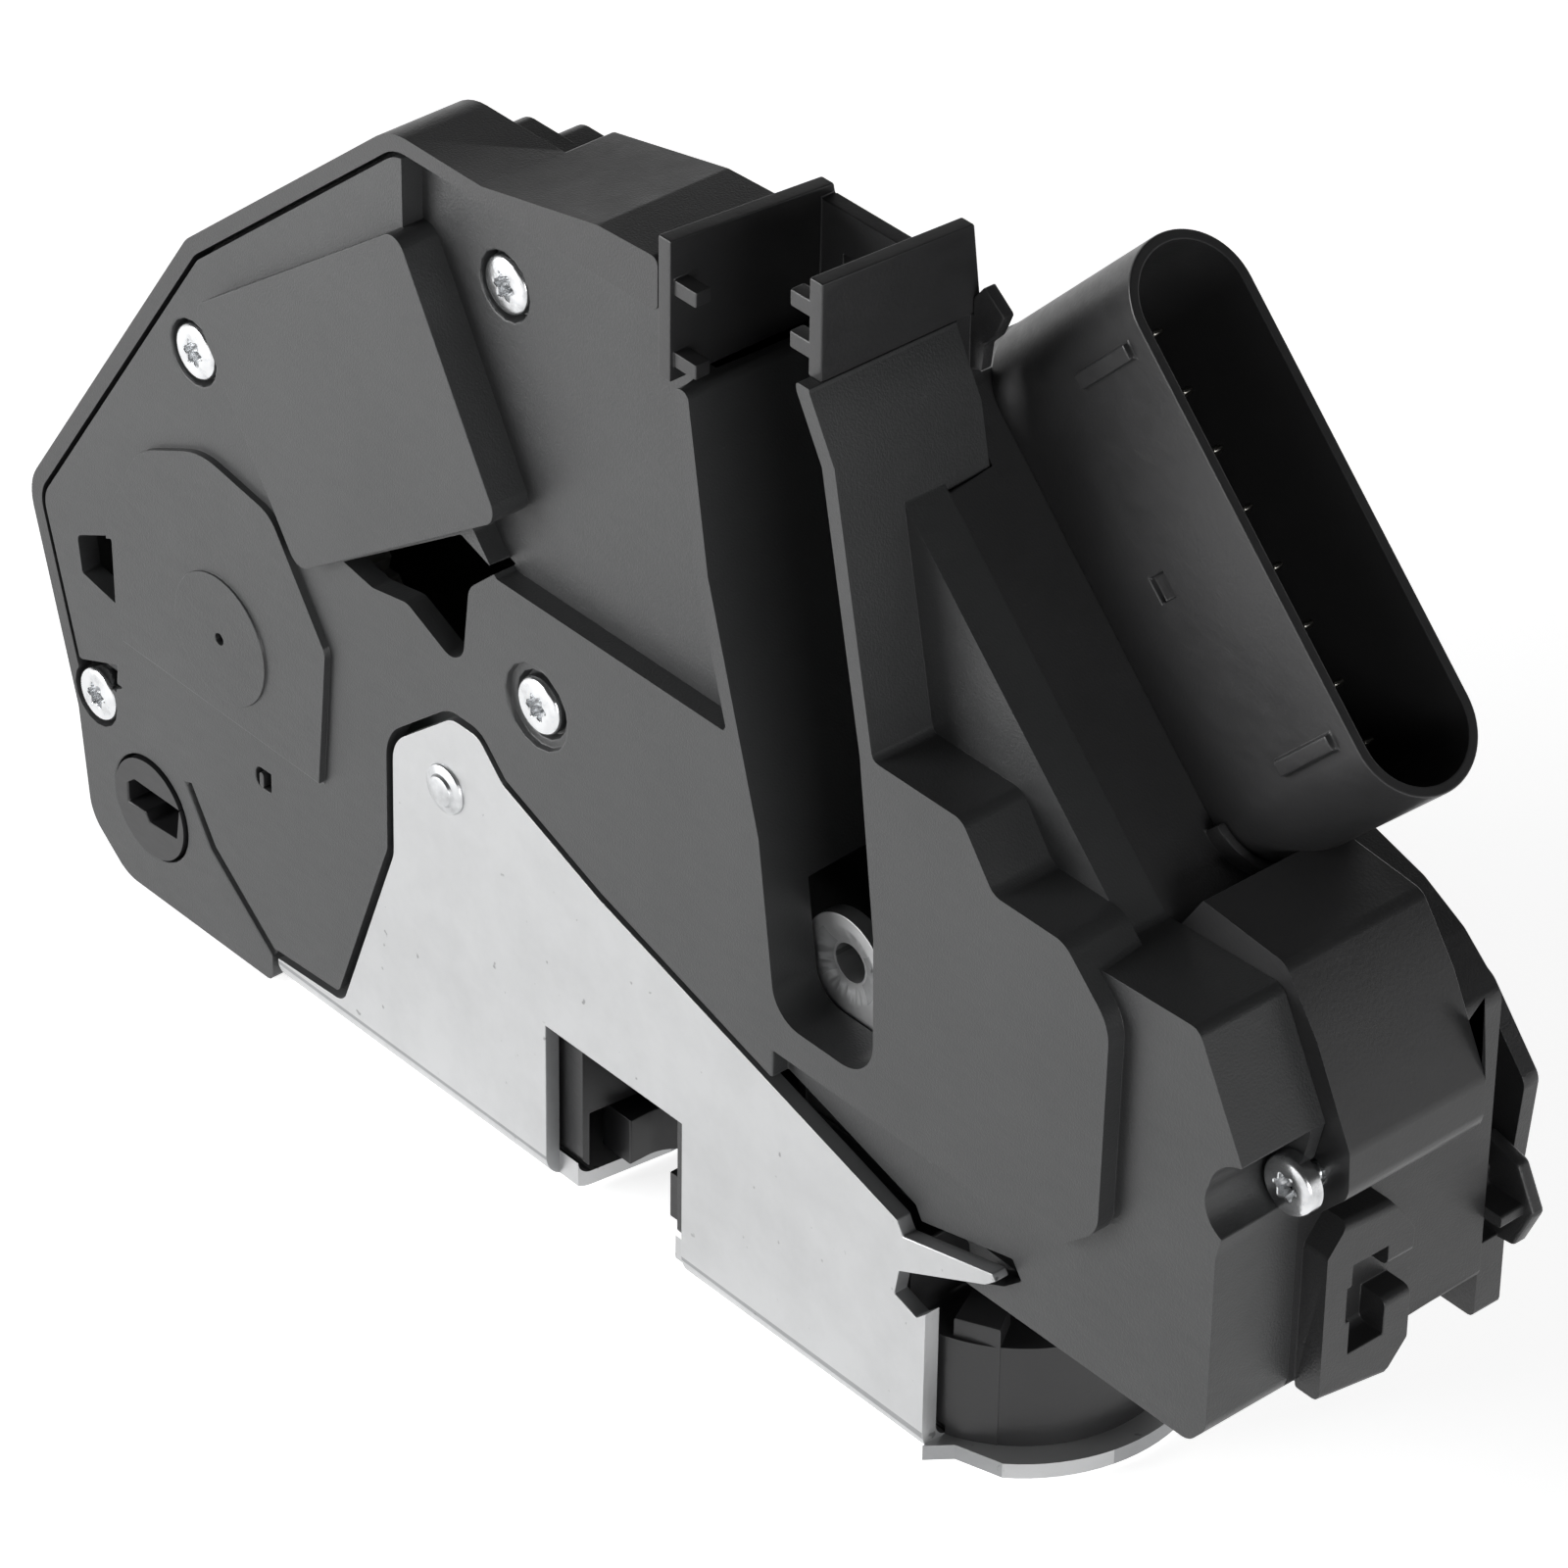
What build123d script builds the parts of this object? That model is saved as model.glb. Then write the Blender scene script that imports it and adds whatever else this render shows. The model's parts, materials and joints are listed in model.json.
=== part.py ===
"""Vehicle door latch actuator: steel latch plate, catch and pawl, and the moulded actuator housing on it.

X runs along the steel flange, Y runs into the door from the flange's outer face, and Z runs up
from the outer face of the face plate. The origin is the middle of the striker mouth, on the edge
where the flange and the face plate meet.
"""
import math
import os

from build123d import *

# Corners up to this radius are drawn sharp
SMALL_CORNER = 1.5

# Flats of rounds drawn as polygons: small ones that show, pins and axles, and the rest
SHOWN_SIDES = 16
PIN_SIDES = 12
HIDDEN_SIDES = 8

# Steel latch plate, bent from one sheet
SHEET = 1.8
PLATE_LEFT = -54.5
PLATE_RIGHT = 46.5
PLATE_DEPTH = 47.0
BEND_R = 3.4
LOBE_X = 40.5
LOBE_Y = 18.0
LOBE_R = 19.0
MOUTH_W = 21.0
MOUTH_H = 20.0
THROAT_W = 12.4
SEAT_Y = 23.6
FIXING_HOLE_R = 2.55
FIXING_COLLAR_R = 4.4
FIXING_COLLAR_H = 2.4
FIXING_HOLES = [(LOBE_X, LOBE_Y), (-44.0, 13.0), (-32.0, 37.0)]

# Lever rivet through the flange
RIVET_X = -25.8
RIVET_Z = 40.9
RIVET_R = 2.0
RIVET_HEAD_R = 2.8
RIVET_HEAD_H = 1.0

# Catch, pawl and their pins
CATCH_X = 21.0
CATCH_Y = 16.0
CATCH_OPEN = 40.0
CATCH_HUB_R = 9.0
CATCH_T = 4.0
CATCH_LOW = 3.8
JACKET_T = 0.8
JAW_R = 5.2
PAWL_X = 2.0
PAWL_Y = PLATE_DEPTH - 6.0
PAWL_HUB_R = 3.6
PIVOT_R = 3.0
PAWL_PIVOT_R = 2.0
PIN_PLAY = 0.05
TOOTH_R = 15.0
RUN_GAP = 0.4

# The pawl's lifting pin and the levers that push it
LIFT_X = -17.0
LIFT_Y = 18.0
LIFT_R = 1.5
LIFT_TOP = 33.0
LIFT_TURN = 6.0
LEVER_Y = 5.4
LEVER_T = 2.0
INSIDE_LEVER_Y = 7.9
TAB_RIGHT = LIFT_X - LIFT_R - RUN_GAP

# Latch housing over the plate
HOUSING_FRONT = SHEET + 0.4
HOUSING_TOP = 22.5
HOUSING_ROOF = 2.0
DRUM_R = 16.3
DRUM_TOP = 14.0
BACK_T = 1.8
TAB_X = 27.5
TAB_Z = 46.2
TAB_Y = 6.0
TAB_R = 5.6
TAB_HOLE_R = 2.1

# Plastic shells of the actuator
WALL = 2.0
COVER_T = 2.4
RECESS = 2.5
RIM_W = 1.8
RIM_GAP = 0.6
COVER_BACK = 5.0
SPLIT_Y = 12.5
RIM_BACK = 10.0
HUMP_BACK = 16.0
HUMP_INSET = 3.8
LEFT_BACK = 22.0
LEFT_INSET = 6.5
RIGHT_BACK = 38.0
REAR_BACK = 46.0
RIGHT_X = 82.8
RIGHT_LOW = 23.2
BOSS_RISE = 1.9
SLOT_WALL = 1.8
SLOT_DEPTH = 18.0
FLOOR_Y = 7.5
PANEL_LOW = 36.9
GUIDE_LEFT = 6.6
GUIDE_RIGHT = 25.8
GUIDE_BACK = 20.2
GUIDE_LOW = 105.2
FRAME_TOP = 113.8

# Connector socket at 45 degrees on the sloping top
SOCKET_SUM = 133.5
SOCKET_X = 45.1
SOCKET_LONG = 56.7
SOCKET_WIDE = 14.0
SOCKET_REACH = 25.0
SOCKET_T = 1.1
SOCKET_Y = 28.7
PIN_PLACES = [(row, -21 + 6 * column) for row in (-2.2, 2.2) for column in range(8)]

# Drives inside the housing
WHEEL_X = -61.3
WHEEL_Z = 41.0
WHEEL_R = 13.2
WHEEL_TEETH = 24
WORM_R = 4.0
SHAFT_R = 1.0
MOTOR_R = 8.5
MOTOR_LONG = 26.0
MOTOR_AT = 24.0
MOTOR_TILT = 36.0
DEAD_X = -17.3
DEAD_Z = 72.0
DEAD_R = 8.6
DEAD_TEETH = 20
DEAD_WORM_R = 3.0
DEAD_MOTOR_R = 6.8
DEAD_MOTOR_LONG = 21.0
DEAD_MOTOR_AT = 11.5
DRIVE_Y = 11.0
LOCK_X = -71.0
LOCK_Z = 13.0
LOCK_RATIO = -0.386
CRANK_R = 9.0
CRANK_START = -135.0
CRANK_TURN = 60.0
ROTOR_X = -75.9
ROTOR_Z = 11.3
ROTOR_R = 5.9

# Screws
SCREW_HEAD_R = 3.15
SCREW_HEAD_H = 1.9
SCREW_R = 1.5
SCREW_LONG = 12.0
SCREW_WELL_R = SCREW_HEAD_R + 0.5
SCREW_BOSS_R = 3.7
SCREWS = [(-18.8, 101.9, RECESS), (-65.4, 73.2, 0.0), (-85.0, 21.1, 0.0), (-11.5, 58.3, 0.0)]
SCREW_BACKS = [LEFT_BACK, HUMP_BACK, LEFT_BACK, LEFT_BACK]
SIDE_SCREW_X = 84.6
SIDE_SCREW_Z = 52.1
SIDE_SEAT = 10.6

# Front outlines (x, z, corner radius) that several pieces share
FLANGE_OUTLINE = [
    (PLATE_LEFT, 0), (PLATE_LEFT, 3.6), (-43.5, 4.2, 2), (-34.5, 28, 4), (-34.3, 42.2, 5),
    (-24.8, 49.9, 3), (-20.6, 49.9, 2.5), (-16.9, 46.2, 2), (-2, 40.4), (18, 34.3),
    (42.1, 27.1), (43, 25.6), (55.5, 28.7, 0.4), (56, 28, 0.3), (54.6, 26.8), (42.6, 21.1),
    (42, 18), (45.2, 17), (PLATE_RIGHT, 18.2), (PLATE_RIGHT, 0),
]
SLOT_OUTLINE = [
    (10.7, 130), (10.7, 106.4), (13.9, 86.6), (21.5, 60.6), (24.2, 41, 4), (38.3, 41, 4.5),
    (37.9, 58), (35.5, 77.6), (29.6, 106.4), (25.9, 113), (25.9, 130),
]
LINER = [(8.6, 30.5), (8.6, GUIDE_LOW - 0.2), (25.0, GUIDE_LOW - 0.2), (45, 60), (45, 30.5)]
CASE_LEFT = [
    (PLATE_LEFT - 0.4, 24.6), (PLATE_LEFT - 0.4, 0), (-80.8, 0, 5), (-86.8, 4.8, 5),
    (-88.3, 18, 3), (-95.4, 43, 6), (-65.9, 86.3, 5), (-32.8, FRAME_TOP, 7),
]
CASE_OUTLINE = CASE_LEFT + [
    (27.4, FRAME_TOP), (27.4, SOCKET_SUM - 27.4), (65, SOCKET_SUM - 65), (78.5, SOCKET_SUM - 65, 1),
    (RIGHT_X, 60), (RIGHT_X, 25.8, 1.5), (80.6, RIGHT_LOW, 1.5), (46.8, RIGHT_LOW), (46.8, 24.6),
]
TOP_RISE = [(-19, 112.4), (-19, FRAME_TOP), (-2, 117.4, 3), (GUIDE_LEFT, 117.8), (GUIDE_LEFT, 112.4)]
LOWER_LEFT = [
    (PLATE_LEFT - 0.4, 24.6), (PLATE_LEFT - 0.4, 0), (-80.8, 0, 5), (-86.8, 4.8, 5),
    (-88.2, 18, 2), (-85.8, 21, 1), (-80, 24.6),
]
BESIDE_PLATE = [
    (PLATE_LEFT - 0.4, 24.6), (PLATE_LEFT - 0.4, 4.6), (-44.2, 5.2), (-35.6, 28), (-35.6, 30),
    (PLATE_LEFT - 0.4, 30),
]
PANEL = [
    (20.8, PANEL_LOW), (63.5, PANEL_LOW, 7), (69.4, 42, 4), (69.8, 66, 5), (63.5, 72, 3), (54, 72, 1),
    (49.5, 78, 1.5), (28, 78),
]
BLOCK_ONE = [
    (20.8, 24.6), (46.8, 24.6), (46.8, RIGHT_LOW), (80.6, RIGHT_LOW, 1.5), (RIGHT_X, 25.8, 1.5),
    (RIGHT_X, 46), (85.6, 58.1, 0.8), (79.2, 70.2, 1), (64, SOCKET_SUM - 64), (30, SOCKET_SUM - 64),
]
SLOPE_WALL = [(28, 69), (64.5, 69), (27.4, SOCKET_SUM - 27.4), (26.5, SOCKET_SUM - 27.4)]
RECESS_OUTLINE = [
    (-17.4, 70.3), (17.4, 70.3), (12.4, 86.2), (9.0, 106.0), (9.0, 125), (-31, 125), (-31, 100), (-25, 79),
]
BOSS = [(-62.7, 80.8, 2), (-29.7, 104.8, 2), (-14.9, 78.9, 2), (-46.7, 57.1, 2)]
GEAR_DOME = [
    (-78.6, 31.5), (-80.2, 36, 3), (-81, 46, 8), (-74.5, 57.5, 9), (-64, 62.4, 9), (-52.5, 60.5, 4),
    (-44, 48.0, 2), (-45.6, 31.0, 0.5),
]
STAR_POCKET = [
    (-41.6, 60.1), (-22.8, 72.8), (-17.4, 71), (-21.7, 67.1), (-22.7, 58.5, 1), (-24.7, 57.2, 1),
    (-31.5, 60.3, 2), (-37, 59.3, 2),
]
LEFT_POCKET = [(-87.0, 40.4), (-79.8, 43.9), (-79.6, 34.8), (-86.4, 36)]
SCREW_POCKET = [(-87.2, 24.6), (-81.0, 27.2), (-81.4, 23.4)]
CORNER_GROOVE = [(-69.6, 18.0), (-68.6, 18.4), (-64.8, 12.4), (-55.0, 4.4), (-55.0, 3.0), (-65.6, 11.6)]


def drawn(corners, plane):
    """Face on a plane from corners (u, v) or (u, v, fillet radius)."""
    points = [(corner[0], corner[1]) for corner in corners]
    radii = [corner[2] if len(corner) > 2 and corner[2] > SMALL_CORNER else 0 for corner in corners]
    if any(radii):
        line = FilletPolyline(*points, radius=radii, close=True)
    else:
        line = Polyline(*points, close=True)
    return plane * make_face(line)


def across(y):
    """Plane parallel to the flange at depth y, with X to the right and Z up."""
    return Plane(origin=(0, y, 0), x_dir=(1, 0, 0), z_dir=(0, -1, 0))


def slab_y(corners, near, far):
    """Front outline carried from depth near to depth far."""
    return extrude(drawn(corners, across(near)), amount=near - far)


def slab_z(corners, low, high):
    """Plan outline carried from height low to height high."""
    return extrude(drawn(corners, Plane.XY.offset(low)), amount=high - low)


def slab_x(corners, left, right):
    """Side outline (y, z) carried from left to right."""
    return extrude(drawn(corners, Plane.YZ.offset(left)), amount=right - left)


def block(low, high):
    """Box from its lowest to its highest corner."""
    size = [high[i] - low[i] for i in range(3)]
    middle = [(high[i] + low[i]) / 2 for i in range(3)]
    return Pos(*middle) * Box(*size)


def post_y(x, z, radius, near, far):
    """Round post along Y."""
    return Pos(x, (near + far) / 2, z) * Rot(90, 0, 0) * Cylinder(radius, far - near)


def peg_y(x, z, radius, near, far, sides=HIDDEN_SIDES):
    """Post along Y with flat sides, for hidden bosses, axles, the screws and their wells."""
    return extrude(across(near) * Pos(x, z) * RegularPolygon(radius, sides), amount=near - far)


def peg_z(x, y, radius, low, high, sides=PIN_SIDES):
    """Post along Z with flat sides, for hidden pins, holes and pockets."""
    return extrude(Plane.XY.offset(low) * Pos(x, y) * RegularPolygon(radius, sides), amount=high - low)


def post_z(x, y, radius, low, high):
    """Round post along Z."""
    return Pos(x, y, (low + high) / 2) * Cylinder(radius, high - low)


def sharp(corners):
    """The same corners without their fillets, for hidden walls."""
    return [(corner[0], corner[1]) for corner in corners]


def polar(centre, radius, degrees):
    """Point at a radius and an angle from a centre."""
    turn = math.radians(degrees)
    return (centre[0] + radius * math.cos(turn), centre[1] + radius * math.sin(turn))


def inset(corners, by, plane):
    """Front outline drawn smaller on all sides."""
    return offset(drawn(corners, plane), amount=-by, kind=Kind.INTERSECTION)


def deep(face, depth):
    """Front face carried into the door by a depth."""
    return extrude(face, amount=-depth)


def face_plate():
    """L-shaped latch plate with lobe, striker mouth, tongue and three threaded collars."""
    height = RIVET_Z + 12
    profile = [
        (0, height), (0, 0, BEND_R), (PLATE_DEPTH, 0), (PLATE_DEPTH, SHEET),
        (SHEET, SHEET, BEND_R - SHEET), (SHEET, height),
    ]
    sheet = slab_x(profile, PLATE_LEFT, PLATE_RIGHT + 12)
    plan = [
        (PLATE_LEFT, -1), (PLATE_LEFT, 30, 5), (-44, PLATE_DEPTH, 6), (24, PLATE_DEPTH, 6),
        (36, LOBE_Y + LOBE_R - 2, 6), (PLATE_RIGHT, LOBE_Y + LOBE_R - 4), (PLATE_RIGHT, -1),
    ]
    tongue_room = block((40, -1, 15), (60, SHEET, 35))
    sheet = sheet & slab_y(FLANGE_OUTLINE, -1, PLATE_DEPTH + 1) & (slab_z(plan, -1, height) + tongue_room)
    lobe = post_z(LOBE_X, LOBE_Y, LOBE_R, 0, SHEET)
    relief = slab_z([(PLATE_RIGHT, -9), (PLATE_RIGHT, 0), (48.5, 2.6), (53.5, 4.2), (62, -9)], -1, 3)
    left_of_lobe = block((0, -9, -1), (PLATE_RIGHT, 10, 3))
    plate = sheet + (lobe - relief - left_of_lobe)
    collar_top = SHEET + FIXING_COLLAR_H
    plate += [peg_z(x, y, FIXING_COLLAR_R, SHEET, collar_top, SHOWN_SIDES) for x, y in FIXING_HOLES]
    plate -= mouth(MOUTH_W / 2, THROAT_W / 2, MOUTH_H, -1)
    plate -= [post_z(x, y, FIXING_HOLE_R, -1, 9) for x, y in FIXING_HOLES]
    plate -= post_y(RIVET_X, RIVET_Z, RIVET_R + PIN_PLAY, -1, SHEET + 1)
    plate -= peg_z(CATCH_X, CATCH_Y, PIVOT_R - 0.6, -1, SHEET + 1)
    plate -= peg_z(PAWL_X, PAWL_Y, PAWL_PIVOT_R - 0.4, -1, SHEET + 1)
    return plate


def mouth(half_front, half_throat, top, bottom):
    """Room for the striker: the notch in the flange and the funnel down to the seat."""
    notch_outline = [
        (-half_front, bottom), (-half_front, top), (half_front, top, 1.6), (half_front, bottom),
    ]
    notch = slab_y(notch_outline, -2, SHEET)
    funnel = [
        (-half_front, -2), (-half_front, 1.0, 0.9), (-half_throat - 1.4, SHEET, 1), (-half_throat, 13),
        (-half_throat, SEAT_Y), (half_throat, SEAT_Y), (half_throat, 13),
        (half_throat + 1.4, SHEET, 1), (half_front, 1.0, 0.9), (half_front, -2),
    ]
    channel = slab_z(funnel, bottom, top) + post_z(0, SEAT_Y, half_throat, bottom, top)
    return notch + channel


def back_plate():
    """Steel plate that carries the pins, with the bent-up tab for the side fixing screw."""
    low = HOUSING_TOP
    plan = [
        (-30, 12, 3), (TAB_X - TAB_R - 3, 12, 2), (TAB_X - TAB_R, 9), (TAB_X - TAB_R, TAB_Y + 1.5),
        (TAB_X + TAB_R, TAB_Y + 1.5), (TAB_X + TAB_R, 11), (40, 14, 4), (40, 30, 6), (28, 40, 6),
        (10, PLATE_DEPTH - 0.6, 3), (-8, PLATE_DEPTH - 0.6, 3), (-30, 30, 5),
    ]
    plate = slab_z(plan, low, low + BACK_T)
    profile = [
        (TAB_Y, TAB_Z), (TAB_Y, low, BEND_R), (TAB_Y + 5, low), (TAB_Y + 5, low + BACK_T),
        (TAB_Y + BACK_T, low + BACK_T, BEND_R - BACK_T), (TAB_Y + BACK_T, TAB_Z),
    ]
    tab = slab_x(profile, TAB_X - TAB_R, TAB_X + TAB_R)
    tab += post_y(TAB_X, TAB_Z, TAB_R, TAB_Y, TAB_Y + BACK_T)
    plate += tab
    plate += peg_y(TAB_X, TAB_Z, TAB_HOLE_R + 1.3, TAB_Y + BACK_T, TAB_Y + BACK_T + 1.4)
    base = (Align.CENTER, Align.CENTER, Align.MIN)
    dish = Cone(TAB_R - 1.2, TAB_HOLE_R + 0.3, 0.6, align=base)
    plate -= Pos(TAB_X, TAB_Y, TAB_Z) * Rot(-90, 0, 0) * dish
    plate -= post_y(TAB_X, TAB_Z, TAB_HOLE_R, 0, 12)
    plate -= peg_z(CATCH_X, CATCH_Y, PIVOT_R - 0.6, low - 1, low + 3)
    plate -= peg_z(PAWL_X, PAWL_Y, PAWL_PIVOT_R - 0.4, low - 1, low + 3)
    plate -= lift_window(low - 1, low + 3, 2.6)
    return plate


def lift_window(low, high, half):
    """Slot along the short path of the pawl's lifting pin."""
    reach = math.hypot(LIFT_X - PAWL_X, LIFT_Y - PAWL_Y)
    start = math.degrees(math.atan2(LIFT_Y - PAWL_Y, LIFT_X - PAWL_X))
    places = [polar((PAWL_X, PAWL_Y), reach, start + LIFT_TURN * step / 2) for step in range(3)]
    return [peg_z(x, y, half, low, high) for x, y in places]


def pin(x, y, radius, tail, head):
    """Shoulder pin riveted through the face plate and the back plate."""
    top = HOUSING_TOP + BACK_T
    body = post_z(x, y, radius, SHEET, HOUSING_TOP) + peg_z(x, y, tail - PIN_PLAY, 0, top)
    return body + peg_z(x, y, head, top, top + 0.9, HIDDEN_SIDES)


def catch_pin():
    """Pin of the catch."""
    return pin(CATCH_X, CATCH_Y, PIVOT_R, PIVOT_R - 0.6, PIVOT_R)


def pawl_pin():
    """Pin of the pawl."""
    return pin(PAWL_X, PAWL_Y, PAWL_PIVOT_R, PAWL_PIVOT_R - 0.4, PAWL_PIVOT_R)


def jaw_place():
    """Middle of the jaw when the catch stands open."""
    reach = math.hypot(CATCH_X, SEAT_Y - CATCH_Y)
    closed = math.degrees(math.atan2(SEAT_Y - CATCH_Y, -CATCH_X))
    return polar((CATCH_X, CATCH_Y), reach, closed + CATCH_OPEN)


def catch_outline(grow):
    """Plan of the catch standing open, its jaw towards the mouth, grown all round for the jacket."""
    jaw_x, jaw_y = jaw_place()
    side = JAW_R + 4.2 + grow
    tooth_r = TOOTH_R + grow
    corners = [
        (jaw_x, jaw_y - 4.0 - grow), (jaw_x + side, jaw_y - 3.6 - grow, 2),
        (CATCH_X - 8.0, CATCH_Y - 6.0 - grow, 4), (CATCH_X + 4.0, CATCH_Y - CATCH_HUB_R, 5),
        (CATCH_X + CATCH_HUB_R, CATCH_Y, 6), (CATCH_X + 4.0, CATCH_Y + CATCH_HUB_R + 1, 4),
        polar((CATCH_X, CATCH_Y), tooth_r, 101) + (0.6,), polar((CATCH_X, CATCH_Y), tooth_r, 116) + (0.6,),
        (jaw_x + 6.0, jaw_y + side + 0.5, 4), (jaw_x - 3.0, jaw_y + side, 4),
        (jaw_x - side, jaw_y + 1.0, 2), (jaw_x - side + 0.6, jaw_y - 1.5 - grow, 1.6),
        (jaw_x, jaw_y - 1.5 - grow),
    ]
    jaw = Pos(jaw_x, jaw_y) * Circle(JAW_R - grow)
    jaw += Pos(jaw_x, jaw_y - JAW_R) * Rectangle(2 * (JAW_R - grow), 2 * JAW_R)
    return drawn(corners, Plane.XY) - jaw


def catch():
    """Steel claw standing open on its pin."""
    body = extrude(Plane.XY.offset(CATCH_LOW) * catch_outline(0), amount=CATCH_T)
    return body - post_z(CATCH_X, CATCH_Y, PIVOT_R + PIN_PLAY, 0, 12)


def catch_jacket():
    """Moulded jacket round the jaw of the catch."""
    low = CATCH_LOW - JACKET_T
    body = extrude(Plane.XY.offset(low) * catch_outline(JACKET_T), amount=CATCH_T + 2 * JACKET_T)
    body = body & block((-30, -9, 0), (CATCH_X - CATCH_HUB_R, PLATE_DEPTH, 12))
    return body - extrude(Plane.XY.offset(CATCH_LOW) * catch_outline(0), amount=CATCH_T)


def pawl():
    """Steel pawl with its hook over the catch tooth and its upright lifting pin."""
    hook_x, hook_y = polar((CATCH_X, CATCH_Y), TOOTH_R + RUN_GAP, 77)
    low, high = CATCH_LOW, CATCH_LOW + CATCH_T
    hub = PAWL_HUB_R
    hook_arm = [
        (hook_x, hook_y, 0.3), (hook_x + 1.4, hook_y + 4.6, 1.2), (PAWL_X + 10, PAWL_Y + 1.0, 5),
        (PAWL_X, PAWL_Y + hub), (PAWL_X, PAWL_Y - hub), (PAWL_X + 11, PAWL_Y - 5.0, 4),
        (hook_x - 3.8, hook_y + 0.4, 0.5),
    ]
    lift_arm = [
        (PAWL_X, PAWL_Y + hub), (-12.5, PAWL_Y - 1.5, 6), (LIFT_X - 2.8, LIFT_Y), (LIFT_X + 2.8, LIFT_Y),
        (-10.0, PAWL_Y - 6.0, 6), (PAWL_X, PAWL_Y - hub),
    ]
    body = slab_z(hook_arm, low, high) + slab_z(lift_arm, low, high)
    body += post_z(PAWL_X, PAWL_Y, hub, low, high) + post_z(LIFT_X, LIFT_Y, 2.8, low, high)
    body += peg_z(LIFT_X, LIFT_Y, LIFT_R, low, LIFT_TOP)
    return body - post_z(PAWL_X, PAWL_Y, PAWL_PIVOT_R + PIN_PLAY, 0, 12)


def coil(inner, wire, turns, axis_plane):
    """Close-wound torsion spring, drawn as a plain sleeve as long as its turns."""
    ring = RegularPolygon(inner + wire, 16) - RegularPolygon(inner, 16)
    return axis_plane * extrude(ring, amount=turns * wire)


def catch_spring():
    """Torsion spring on the catch pin, over the catch."""
    low = CATCH_LOW + CATCH_T + 1.2
    body = coil(PIVOT_R + 0.3, 1.2, 2, Plane.XY.offset(low).move(Location((CATCH_X, CATCH_Y, 0))))
    return body + block((CATCH_X + 3.3, CATCH_Y, low), (CATCH_X + 4.4, CATCH_Y + 12, low + 1.1))


def pawl_spring():
    """Torsion spring on the pawl pin, over the pawl."""
    low = CATCH_LOW + CATCH_T + 1.2
    body = coil(PAWL_PIVOT_R + 0.3, 0.9, 2, Plane.XY.offset(low).move(Location((PAWL_X, PAWL_Y, 0))))
    return body + block((PAWL_X - 9, PAWL_Y + 2.4, low), (PAWL_X, PAWL_Y + 3.2, low + 0.9))


def housing_plan():
    """Plan of the latch housing without its drum."""
    back = PLATE_DEPTH - 0.4
    return [
        (-27.6, HOUSING_FRONT, 1), (-27.6, 29.5, 4), (-20, back, 5), (23, back, 5),
        (35.5, LOBE_Y + LOBE_R - 3.5, 4), (42, LOBE_Y + 14), (42, HOUSING_FRONT),
    ]


def latch_housing():
    """Moulded housing round the catch and pawl, with the drum and the liner of the mouth."""
    body = slab_z(housing_plan(), SHEET, HOUSING_TOP)
    drum = post_z(LOBE_X, LOBE_Y, DRUM_R, SHEET, DRUM_TOP)
    body += drum & block((30, HOUSING_FRONT, 0), (70, 60, 30))
    body += slab_z([(46.8, 3.4, 1), (51.2, 5.6, 0.8), (49, 9), (44, 9)], SHEET, DRUM_TOP + 2.2)
    body += slab_z([(40, 10), (52.5, 11.5, 3), (54.5, 20, 4), (50, 29, 4), (40, 32)], SHEET, RIGHT_LOW)
    low, high = SHEET, CATCH_LOW + CATCH_T + 1.6
    works = [
        (-21.5, 14, 3), (-12.4, 3.0, 2), (18, 3.0, 3), (32, 8.5, 4), (33.5, 18, 4),
        (29.5, PLATE_DEPTH - 8, 2), (8, PLATE_DEPTH - 1.6, 3), (-6, PLATE_DEPTH - 1.6, 3),
        (-19, PLATE_DEPTH - 6.5, 4), (-24, 20, 3),
    ]
    body -= slab_z(sharp(works), low - 1, high)
    body -= mouth(MOUTH_W / 2 - 1.6, THROAT_W / 2 - 0.2, HOUSING_TOP - HOUSING_ROOF, 0)
    body -= peg_z(CATCH_X, CATCH_Y, PIVOT_R + 0.2, 0, 30)
    body -= peg_z(CATCH_X, CATCH_Y, 5.6, 4, high + 3.2)
    body -= block((CATCH_X + 3.2, CATCH_Y, 4), (CATCH_X + 4.7, CATCH_Y + 12.2, high + 3.2))
    body -= peg_z(PAWL_X, PAWL_Y, PAWL_PIVOT_R + 0.2, 0, 30)
    body -= peg_z(PAWL_X, PAWL_Y, 3.6, 4, high + 2.4)
    body -= block((PAWL_X - 9.2, PAWL_Y + 2.2, 4), (PAWL_X, PAWL_Y + 3.4, high + 2.4))
    body -= lift_window(0, 30, 2.2)
    body -= peg_z(LOBE_X, LOBE_Y, FIXING_COLLAR_R + 0.5, 0, 12)
    body -= buffer_block()
    return body - bend_relief()


def bend_relief():
    """Bevel that keeps the plastic clear of the inner bend of the plate."""
    clear = BEND_R + 0.3
    bevel = [(-1, 0), (-1, clear), (HOUSING_FRONT, clear), (clear, SHEET), (clear, 0)]
    return slab_x(bevel, PLATE_LEFT - 5, PLATE_RIGHT)


def buffer_block():
    """Rubber block at the end of the throat."""
    half = THROAT_W / 2 - 1.8
    front = SEAT_Y + 4.2
    low, high = CATCH_LOW + CATCH_T + 2.4, HOUSING_TOP - HOUSING_ROOF - 1
    return block((-half, front, low), (half, front + 4.6, high))


def striker_buffer():
    """Rubber buffer that the striker meets."""
    return fillet(buffer_block().edges().filter_by(Axis.Z).group_by(Axis.Y)[0], 1.0)


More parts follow.
